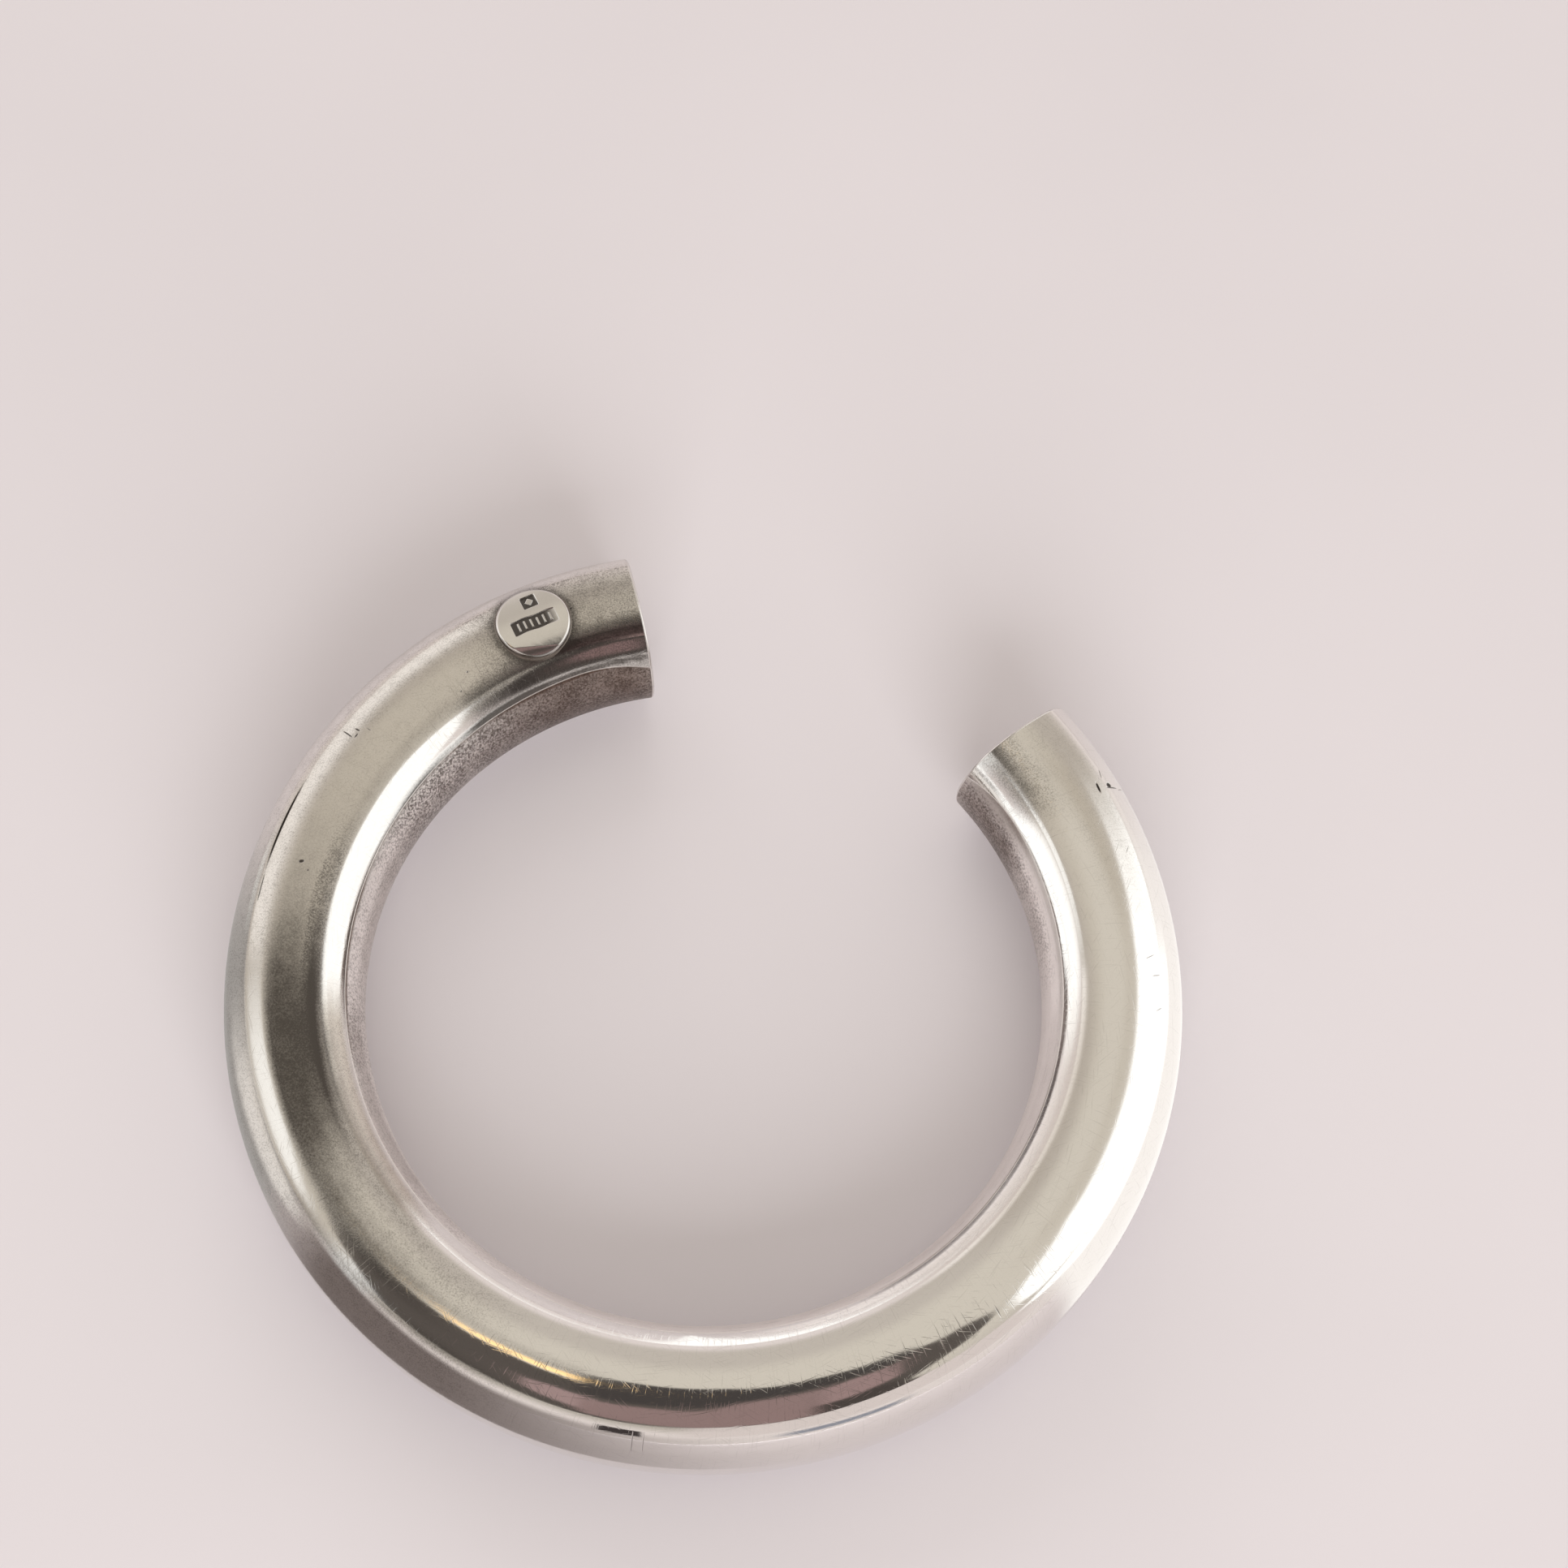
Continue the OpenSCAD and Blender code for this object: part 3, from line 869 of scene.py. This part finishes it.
def build_end_caps(s, f):
    """Two end caps. Each is a closed plug: a face that bulges a little, a rounded rim flush with the tube, a
    step one sheet thick and a neck that goes into the tube.

    Face point = middle of the section + t times the way to the rim's inner edge, pushed forward by the dome
    height times (1 - t squared). Rim = quarter round of the rim radius."""
    ridged, plain = Section(s, True), Section(s, False)
    around = ridged.spread(0, 2 * math.pi, CAP_SIDES + 1)[:-1][None, :]
    middle = (s.outer_radius - s.tube_depth / 2, s.tube_height / 2)
    # Brown film in the middle of the face, at its edge, and on the rim
    middle_film, edge_film, rim_film = 0.6, 0.35, 0.3
    rows = []

    def row(place, back, film, share=1.0):
        """One row of points: a share of the way from the section's middle to a place on it, this far back."""
        r, z = (m + share * (p - m) for m, p in zip(middle, place))
        rows.append((r, z, back + 0 * r, film + 0 * r))

    edge, neck = ridged.point(around, s.rim), plain.point(around, s.sheet)
    for t in np.linspace(0, 1, CAP_FACE_ROWS)[:-1]:
        row(edge, -s.cap_dome * (1 - t * t), middle_film + (edge_film - middle_film) * t**3, t)
    for turn in np.radians(np.linspace(90, 0, CAP_RIM_ROWS)):
        row(ridged.point(around, s.rim * (1 - math.cos(turn))), s.rim * (1 - math.sin(turn)), rim_film)
    row(neck, s.rim, middle_film)
    for share in (1.0, 0.5, 0.0):
        row(neck, s.cap, middle_film, share)
    r, z, back, film = (np.concatenate(part) for part in zip(*rows))
    away = end_turn(s, r, back)
    material = end_silver(f)
    for name, side in (("end_cap_left", 1), ("end_cap_right", -1)):
        points = round_axis(r, z, math.pi / 2 + side * away)
        finish_round_piece(make_piece(name, points, quads_of(*r.shape, wrap_columns=True), material, None,
                                      {"tarnish_and_painted_light": film}))


def box_step(x, y, half_x, half_y, soft):
    """1 inside a rectangle and 0 outside it, with a smooth step of width soft at its sides."""
    return smooth_step((half_x - np.abs(x)) / soft + 0.5) * smooth_step((half_y - np.abs(y)) / soft + 0.5)


def plate_relief(p, x, y):
    """Height of the plate's face at x along the ring and y outwards: zero, less the two recesses, plus the
    bars and the lozenge on their floors. Also how dark each place is."""
    wall, edge = 0.09 * MM, 0.07 * MM
    # The long recess is a little off the middle, its sides wander, and it was struck less deep at one end
    lx, ly = x - 0.1 * MM, y + 0.15 * MM
    ly = ly + (0.04 * MM * np.sin(lx / (0.9 * MM)) + 0.03 * MM * np.sin(lx / (0.31 * MM) + 1))
    deep = box_step(lx, ly, p.long_length / 2, p.long_width / 2, wall)
    deep = deep * np.clip(1.15 - np.clip(lx / (p.long_length / 2), 0, 1)**3, 0, 1)
    pitch, last = p.long_length / (p.bars + 1), (p.bars - 1) / 2
    nearest = (np.clip(np.round(lx / pitch + last), 0, p.bars - 1) - last) * pitch
    bars = box_step(lx - nearest, ly, p.bar_width / 2, p.bar_length / 2, edge)
    # The small recess lies further out, and its lozenge is a square on its corner
    sx, sy = x - 0.4 * MM, y - 1.75 * MM
    small = box_step(sx, sy, p.small_length / 2, p.small_width / 2, wall)
    a, b = (sx + sy) / math.sqrt(2), (sx - sy) / math.sqrt(2)
    lozenge = box_step(a, b, p.lozenge / 2, p.lozenge / 2, edge)
    recess = np.maximum(deep, small)
    raised = np.maximum(bars * deep, lozenge * small)
    height = -p.stamp_depth * recess + p.bar_height * raised
    return height, recess * (1 - 0.85 * raised)


def build_mark_plate(s, p, f):
    """The round plate: its stamped face, a rounded edge and a side that goes down into the dome, and the
    solder fillet round its foot.

    Face = circles of growing radius, at the height that the relief gives. Fillet = a hollow quarter round
    between the plate's side and the dome, whose height at a distance from the axis is the section's."""
    section = Section(s, True)
    middle = section.inner + s.crown_out + p.out
    top = s.tube_height + p.rise
    around = np.linspace(0, 2 * math.pi, PLATE_SIDES, endpoint=False)[None, :]
    flat_r = np.linspace(0, p.radius - p.bevel, PLATE_CIRCLES)[:, None]
    bend = np.radians(np.linspace(90, 0, BEND_STEPS))[1:, None]
    edge_r, edge_z = p.radius - p.bevel + p.bevel * np.cos(bend), top - p.bevel + p.bevel * np.sin(bend)
    # The foot ends under the domed surface all round
    foot = s.tube_height - 1.5 * s.sheet
    low_r = np.array([p.radius, p.radius, p.radius, p.radius / 2, 0.0])[:, None]
    low_z = np.array([top - 0.5 * p.rise, s.tube_height, foot, foot, foot])[:, None]
    r = np.concatenate([flat_r, edge_r, low_r]) + 0 * around
    x, y = r * np.cos(around), r * np.sin(around)
    relief, dark = plate_relief(p, x, y)
    z = np.concatenate([0 * flat_r + top, edge_z, low_z]) + 0 * around
    on_face = np.concatenate([0 * flat_r + 1, 0 * edge_r, 0 * low_r]) + 0 * around
    # The plate is bent over the crown: it sinks by the square of the distance outwards over twice the bend's
    # radius and its inner edge dips further, along a straight line across the plate
    past = np.maximum(-y * math.cos(p.dip_turn) - x * math.sin(p.dip_turn) - p.dip_from, 0)
    dip = p.dip * past**2 / (past + 0.1 * MM)
    z = z + relief * on_face - np.where(z > foot + MM * 0.01, (y + p.out)**2 / (2 * p.bend) + dip, 0)
    # Painted shade: the plate's side is darker the further down it lies
    painted_side_shade = np.clip((top - 0.25 * p.rise - z) / p.rise, 0, 1) * (1 - on_face)
    tarnish_and_painted_light = 0.08 + 0.92 * dark * on_face + 0.5 * painted_side_shade

    def placed(x, y, z):
        """From the plate's own axes to the frame: y points outwards and x clockwise round the ring."""
        c, n = math.cos(p.turn), math.sin(p.turn)
        out = middle + y
        return np.stack([out * c + x * n, out * n - x * c, z + 0 * x], -1)

    finish_round_piece(make_piece("mark_plate", placed(x, y, z), quads_of(*r.shape, wrap_columns=True),
                                  plate_silver(f), None, {"tarnish_and_painted_light": tarnish_and_painted_light}))

    # The fillet's section is a loop: down the hollow from the plate's side to the dome, and back underneath.
    # Its width and its height vary round the plate
    bend = np.radians(np.linspace(0, 90, BEND_STEPS))[:, None]
    wide = (0.34 + 0.07 * np.sin(3 * around + 1) + 0.04 * np.sin(7 * around)) * MM
    tall = (0.30 + 0.05 * np.sin(2 * around) + 0.03 * np.sin(9 * around + 2)) * MM
    r_skin = p.radius - 0.02 * MM + wide * (1 - np.cos(bend)) + 0 * around
    inward = 1 - np.sin(bend)

    def dome(r):
        return section.crown_height(np.hypot(middle + r * np.sin(around), r * np.cos(around)))

    under = dome(r_skin)
    z_skin = under - 0.02 * MM + tall * inward**1.4
    r_low = np.array([p.radius + 0.2 * MM, p.radius - 0.05 * MM])[:, None] + 0 * around
    z_low = dome(r_low) - 0.25 * MM
    r, z = np.concatenate([r_skin, r_low]), np.concatenate([z_skin, z_low])
    points = placed(r * np.cos(around), r * np.sin(around), z)
    quads = quads_of(*r.shape, wrap_columns=True, wrap_rows=True)
    finish_round_piece(make_piece("plate_solder", points, quads, dull_solder(f)))


# Stage


def glow_material(name, colour, strength, soft):
    """Light that fades over the card's border: strength times a smooth step of the nearness to each side."""
    material = bpy.data.materials.new(name)
    tree = emptied(material)
    out = add(tree, "ShaderNodeOutputMaterial")
    flat = add(tree, "ShaderNodeSeparateXYZ", {0: flat_place(tree)})
    share = 1.0
    for axis, first, last in (("X", soft[0], soft[1]), ("Y", soft[2], soft[3])):
        from_end = calc(tree, "SUBTRACT", 1.0, flat.outputs[axis])
        for near, width in ((flat.outputs[axis], first), (from_end, last)):
            share = calc(tree, "MULTIPLY", stepped(tree, near, 0.0, width), share)
    glow = add(tree, "ShaderNodeEmission", {"Color": (*colour, 1), "Strength": strength}).outputs[0]
    clear = add(tree, "ShaderNodeBsdfTransparent").outputs[0]
    mix = add(tree, "ShaderNodeMixShader", {0: share, 1: clear, 2: glow}).outputs[0]
    tree.links.new(mix, out.inputs[0])
    return material


def bounced(s, t, turn, from_axis, reach):
    """Where the camera's lines of sight end on a ball round the ring, or just over the floor, after they
    bounce off the ring's upper side at these turns and distances from the axis. Mirrored line = twice its
    part along the surface's direction, less the line."""
    section = Section(s, True)
    facing = section.facing_at(from_axis)
    r, z = section.point(facing)
    place, out = round_axis(r, z, turn), round_axis(np.cos(facing), np.sin(facing), turn)
    sight = np.array(t.camera_place) - place
    sight /= np.linalg.norm(sight, axis=-1, keepdims=True)
    line = 2 * np.sum(out * sight, -1, keepdims=True) * out - sight
    across = np.sum(place * line, -1, keepdims=True)
    far = -across + np.sqrt(across**2 - np.sum(place**2, -1, keepdims=True) + reach**2)
    # Where cards cross on the floor, the nearer one lies higher
    above_floor = 0.03 * MM / reach
    to_floor = (place[..., 2:] - above_floor) / np.maximum(-line[..., 2:], 1e-6)
    return place + np.minimum(far, to_floor) * line


def card(s, t, name, outline, reach, colour, strength, soft):
    """A card that only reflections see. Its outline says where it shows on the ring: a turn with the first
    and last facing in the plain section there, in degrees, and so on round the ring. Its points are the ends
    of the bounced lines of sight."""
    turns, low, high = np.array(outline, float).T
    turn = np.linspace(turns[0], turns[-1], CARD_ROWS)[:, None]
    share = np.linspace(0, 1, CARD_COLUMNS)[None, :]
    facing = np.interp(turn, turns, low) * (1 - share) + np.interp(turn, turns, high) * share
    from_axis = Section(s, False).point(np.radians(facing))[0]
    points = bounced(s, t, np.radians(turn + 0 * share), from_axis, reach)
    uv = np.stack(np.broadcast_arrays(np.linspace(0, 1, CARD_ROWS)[:, None], share), -1)
    glow = glow_material(name, colour, strength, soft)
    made = make_piece(name, points, quads_of(CARD_ROWS, CARD_COLUMNS), glow, uv)
    made.visible_camera = made.visible_diffuse = made.visible_shadow = made.visible_transmission = False


# Reflected cards: name, outline on the ring, distance in metres, colour, strength, and the soft part of the
# card at its start, its end, its first and its last facing
WHITE = (1.0, 1.0, 0.98)
CARDS = (
    ("card_right_box", ((150, 120, 123), (154, 120, 131), (161, 118, 135.8), (172, 113, 138),
                        (196, 112, 137.8), (207, 115, 135.5)),
     0.80, WHITE, 1.35, (0.05, 0.16, 0.2, 0.05)),
    ("card_right_top", ((331, 72, 75), (336, 69, 79), (345, 68.5, 83.5), (385, 68.5, 84.5), (414, 68.5, 80)),
     0.20, WHITE, 1.35, (0.03, 0.24, 0.06, 0.16)),
    ("card_right_cream", ((335, 2, 69), (380, 2, 69), (424, 2, 72)),
     1.10, (1.0, 0.965, 0.935), 1.11, (0.06, 0.52, 0.02, 0.04)),
    ("card_left_lens", ((194, 70.5, 76), (199, 69.5, 78.5), (222, 69.5, 79.5), (234, 69.5, 71.5)),
     0.26, WHITE, 1.22, (0.5, 0.12, 0.15, 0.2)),
    ("card_left_band", ((136, 67, 82), (156, 67, 80), (168, 67, 83), (198, 67, 84)),
     0.27, (1.0, 0.96, 0.92), 1.1, (0.15, 0.04, 0.2, 0.6)),
    ("card_left_box", ((360, 130, 134), (375, 123, 136), (392, 115, 139), (404, 117, 139.5), (412, 130, 139)),
     1.01, WHITE, 1.35, (0.2, 0.06, 0.66, 0.03)),
    ("card_end_glint", ((417.5, 116, 138.5), (420, 108, 138.5), (425, 104, 138.5)),
     1.02, WHITE, 1.0, (0.3, 0.02, 0.3, 0.1)),
    ("card_dark_end", ((112, 107.5, 137.5), (121, 107.5, 137.5), (127, 108.5, 137.5), (131, 111, 137),
                       (135, 115, 136.5), (140, 120, 135.5), (145, 125, 134), (151, 128, 131)),
     0.90, (0.075, 0.062, 0.056), 1.0, (0.02, 0.2, 0.08, 0.04)),
    ("card_pink_end", ((120.5, 124, 131), (122, 121.5, 133), (126, 121.5, 132.5), (130, 124, 131),
                       (132.5, 126.5, 128.5)),
     0.80, (0.24, 0.16, 0.155), 1.0, (0.06, 0.06, 0.12, 0.08)),
    ("card_lens", ((236, 75.5, 78.5), (243, 71, 83.5), (252, 66, 83.5), (262, 66, 84), (275, 65.5, 84),
                   (302, 66.5, 84), (314, 69.5, 84), (321, 71.8, 82.3), (330, 75.2, 76.8)),
     1.00, (0.105, 0.09, 0.08), 1.0, (0.02, 0.02, 0.04, 0.04)),
    ("card_lens_black", ((273.5, 78, 88.8), (280, 77.5, 89.5), (292, 79, 89.2), (300, 82.5, 87.8),
                         (313, 82, 86.3), (321, 79.5, 82)),
     0.90, (0.066, 0.058, 0.055), 1.0, (0.01, 0.1, 0.1, 0.08)),
    ("card_lens_blob", ((266.5, 72, 76), (270, 70.5, 78), (277, 69.5, 77.5)),
     0.86, (0.40, 0.285, 0.275), 1.0, (0.12, 0.02, 0.15, 0.15)),
    ("card_lens_pink", ((274, 66.3, 76), (282, 66.3, 77.5), (288, 66.3, 77.5), (296, 66.8, 81.5),
                        (304.5, 68, 82.5)),
     0.85, (0.31, 0.215, 0.205), 1.0, (0.06, 0.04, 0.03, 0.1)),
    ("card_lens_spot", ((303.5, 73, 81), (309, 72.5, 82), (315.5, 74.5, 81)),
     0.85, (0.36, 0.25, 0.24), 1.0, (0.1, 0.1, 0.12, 0.12)),
    ("card_gold", ((252, 84.1, 85.5), (258, 83.8, 86.4), (274, 84.2, 86.8)),
     0.80, (1.0, 0.69, 0.33), 1.75, (0.25, 0.03, 0.2, 0.2)),
    ("card_block", ((277.3, 47, 56.5), (283, 47, 56.5)), 0.058, (0.05, 0.04, 0.04), 1.0,
     (0.08, 0.1, 0.1, 0.1)),
    ("card_streak", ((297, 44, 50), (304, 43, 52), (317, 43.5, 50.5)),
     0.058, (0.30, 0.31, 0.36), 1.0, (0.25, 0.25, 0.4, 0.3)),
    ("card_low_brown", ((224, 2, 66), (238, 2, 66), (248, 2, 63), (262, 2, 58), (306, 2, 55)),
     0.065, (0.20, 0.165, 0.155), 1.0, (0.2, 0.62, 0.02, 0.2)),
    ("card_low_blob", ((200, 30, 67), (212, 22, 69), (226, 26, 66), (235, 40, 56)),
     0.060, (0.90, 0.86, 0.82), 1.0, (0.5, 0.2, 0.45, 0.12)),
    ("card_low_grey", ((174, 2, 67), (205, 2, 67), (236, 2, 66)),
     0.068, (0.42, 0.40, 0.385), 1.0, (0.4, 0.2, 0.05, 0.02)),
    ("card_low_pale", ((285, 53, 66.3), (335, 53, 68)), 0.066, (0.76, 0.68, 0.65), 1.0,
     (0.1, 0.1, 0.1, 0.01)),
    ("card_hollow_pale", ((292, 127, 137.6), (330, 127, 137.6), (378, 128, 137.6)),
     0.020, (0.95, 0.88, 0.85), 1.0, (0.2, 0.15, 0.2, 0.05)),
    ("card_hollow_white", ((376, 133.5, 139.6), (416, 133.5, 139.6)), 0.019, WHITE, 1.3,
     (0.3, 0.12, 0.3, 0.03)),
)


# Lamps: name, place in metres and power in watts
LAMPS = (("lamp_right", (0.45, -0.85, 0.4), 10.0), ("lamp_left", (-0.5, 0.7, 0.45), 2.0))
LAMP_SIDE = 0.8
# Half the floor's side, in metres, and how much darker its faint clouds are
FLOOR_REACH, CLOUD_SHADE = 4.0, 0.965


def build_stage(s, t):
    """Floor, studio light, reflected cards and the camera."""
    scene = bpy.context.scene
    scene.view_settings.view_transform = "Standard"

    floor_material, tree, shader = new_material("pale_floor")
    cloud = noise(tree, object_place(tree), scale=14.0, detail=3.0)
    colour = mixed(tree, stepped(tree, cloud, 0.35, 0.75), tuple(t.floor),
                   tuple(CLOUD_SHADE * c for c in t.floor))
    tree.links.new(colour, shader.inputs["Base Color"])
    shader.inputs["Roughness"].default_value = 0.9
    shader.inputs["Specular IOR Level"].default_value = 0.1
    side = np.array([-FLOOR_REACH, FLOOR_REACH])
    x, y = np.meshgrid(side, side, indexing="ij")
    floor = make_piece("floor", np.stack([x, y, 0 * x], -1), quads_of(2, 2), floor_material)

    world = bpy.data.worlds.new("studio_light")
    scene.world = world
    tree = emptied(world)
    up = add(tree, "ShaderNodeSeparateXYZ",
             {0: add(tree, "ShaderNodeTexCoord").outputs["Generated"]}).outputs["Z"]
    sky = mixed(tree, stepped(tree, up, 0.34, 0.64), tuple(t.sky_low), tuple(t.sky_middle))
    sky = mixed(tree, stepped(tree, up, 0.76, 0.91), sky, tuple(t.sky_high))
    back = add(tree, "ShaderNodeBackground", {"Color": sky, "Strength": 1.0}).outputs[0]
    tree.links.new(back, add(tree, "ShaderNodeOutputWorld").inputs[0])

    for settings in CARDS:
        card(s, t, *settings)

    for name, where, power in LAMPS:
        lamp = bpy.data.lights.new(name, "AREA")
        lamp.shape, lamp.size, lamp.energy = "SQUARE", LAMP_SIDE, power
        made = bpy.data.objects.new(name, lamp)
        made.location = where
        made.rotation_euler = (-Vector(where)).to_track_quat("-Z", "Y").to_euler()
        made.visible_glossy = False
        scene.collection.objects.link(made)

    lens = bpy.data.cameras.new("photo_camera")
    lens.sensor_width, lens.lens = 36.0, t.camera_lens
    lens.clip_start, lens.clip_end = 0.01, 20.0
    camera = bpy.data.objects.new("photo_camera", lens)
    scene.collection.objects.link(camera)
    place = Vector(t.camera_place)
    turned = (place - Vector(t.camera_aim)).to_track_quat("Z", "Y").to_matrix().to_4x4()
    camera.matrix_world = Matrix.Translation(place) @ turned @ Matrix.Rotation(t.camera_roll, 4, "Z")
    scene.camera = camera


# Operators


def held(context, *names):
    """The scene's settings of the arm ring with these names."""
    return [getattr(context.scene, PREFIX + name) for name in names]


class ARMRING_OT_stage(Operator):
    """Makes the floor, the studio light, the reflected cards and the camera"""

    bl_idname = "armring.stage"
    bl_label = "Stage"

    def execute(self, context):
        build_stage(*held(context, "sizes", "stage"))
        return {"FINISHED"}


class ARMRING_OT_outer_shell(Operator):
    """Makes the domed outer shell of polished silver"""

    bl_idname = "armring.outer_shell"
    bl_label = "Outer shell"

    def execute(self, context):
        build_outer_shell(*held(context, "sizes", "seam", "plate", "finish"))
        return {"FINISHED"}


class ARMRING_OT_inner_band(Operator):
    """Makes the satin inner band"""

    bl_idname = "armring.inner_band"
    bl_label = "Inner band"

    def execute(self, context):
        build_inner_band(*held(context, "sizes", "seam", "finish"))
        return {"FINISHED"}


class ARMRING_OT_seams(Operator):
    """Makes the solder beads in both seams"""

    bl_idname = "armring.seams"
    bl_label = "Solder seams"

    def execute(self, context):
        build_seams(*held(context, "sizes", "seam", "finish"))
        return {"FINISHED"}


class ARMRING_OT_end_caps(Operator):
    """Makes the two end caps"""

    bl_idname = "armring.end_caps"
    bl_label = "End caps"

    def execute(self, context):
        build_end_caps(*held(context, "sizes", "finish"))
        return {"FINISHED"}


class ARMRING_OT_mark_plate(Operator):
    """Makes the round mark plate and the solder round its foot"""

    bl_idname = "armring.mark_plate"
    bl_label = "Mark plate"

    def execute(self, context):
        build_mark_plate(*held(context, "sizes", "plate", "finish"))
        return {"FINISHED"}


class ARMRING_PT_panel(Panel):
    """Lists the arm ring's pieces in the sidebar"""

    bl_idname = "ARMRING_PT_panel"
    bl_label = "Arm ring"
    bl_space_type = "VIEW_3D"
    bl_region_type = "UI"
    bl_category = "Arm ring"

    def draw(self, context):
        for operator in PIECES:
            self.layout.operator(operator.bl_idname)
        for name, holder in HOLDERS.items():
            self.layout.label(text=holder.__doc__)
            for value in holder.__annotations__:
                self.layout.prop(*held(context, name), value)


PREFIX = "arm_ring_"
HOLDERS = {"sizes": ArmRingSizes, "seam": ArmRingSeam, "plate": ArmRingPlate, "finish": ArmRingFinish,
           "stage": ArmRingStage}
PIECES = (ARMRING_OT_outer_shell, ARMRING_OT_inner_band, ARMRING_OT_seams, ARMRING_OT_end_caps,
          ARMRING_OT_mark_plate, ARMRING_OT_stage)


CLASSES = (*HOLDERS.values(), *PIECES, ARMRING_PT_panel)


def register():
    """Makes the classes known to Blender and hangs the settings on the scene."""
    for made in CLASSES:
        bpy.utils.register_class(made)
    for name, holder in HOLDERS.items():
        setattr(bpy.types.Scene, PREFIX + name, PointerProperty(type=holder))


def unregister():
    """Takes back what register did, in the opposite order."""
    for name in reversed(HOLDERS):
        delattr(bpy.types.Scene, PREFIX + name)
    for made in reversed(CLASSES):
        bpy.utils.unregister_class(made)


def main():
    """Makes every piece and the stage."""
    register()
    for operator in PIECES:
        family, name = operator.bl_idname.split(".")
        getattr(getattr(bpy.ops, family), name)()


if __name__ == "__main__":
    main()
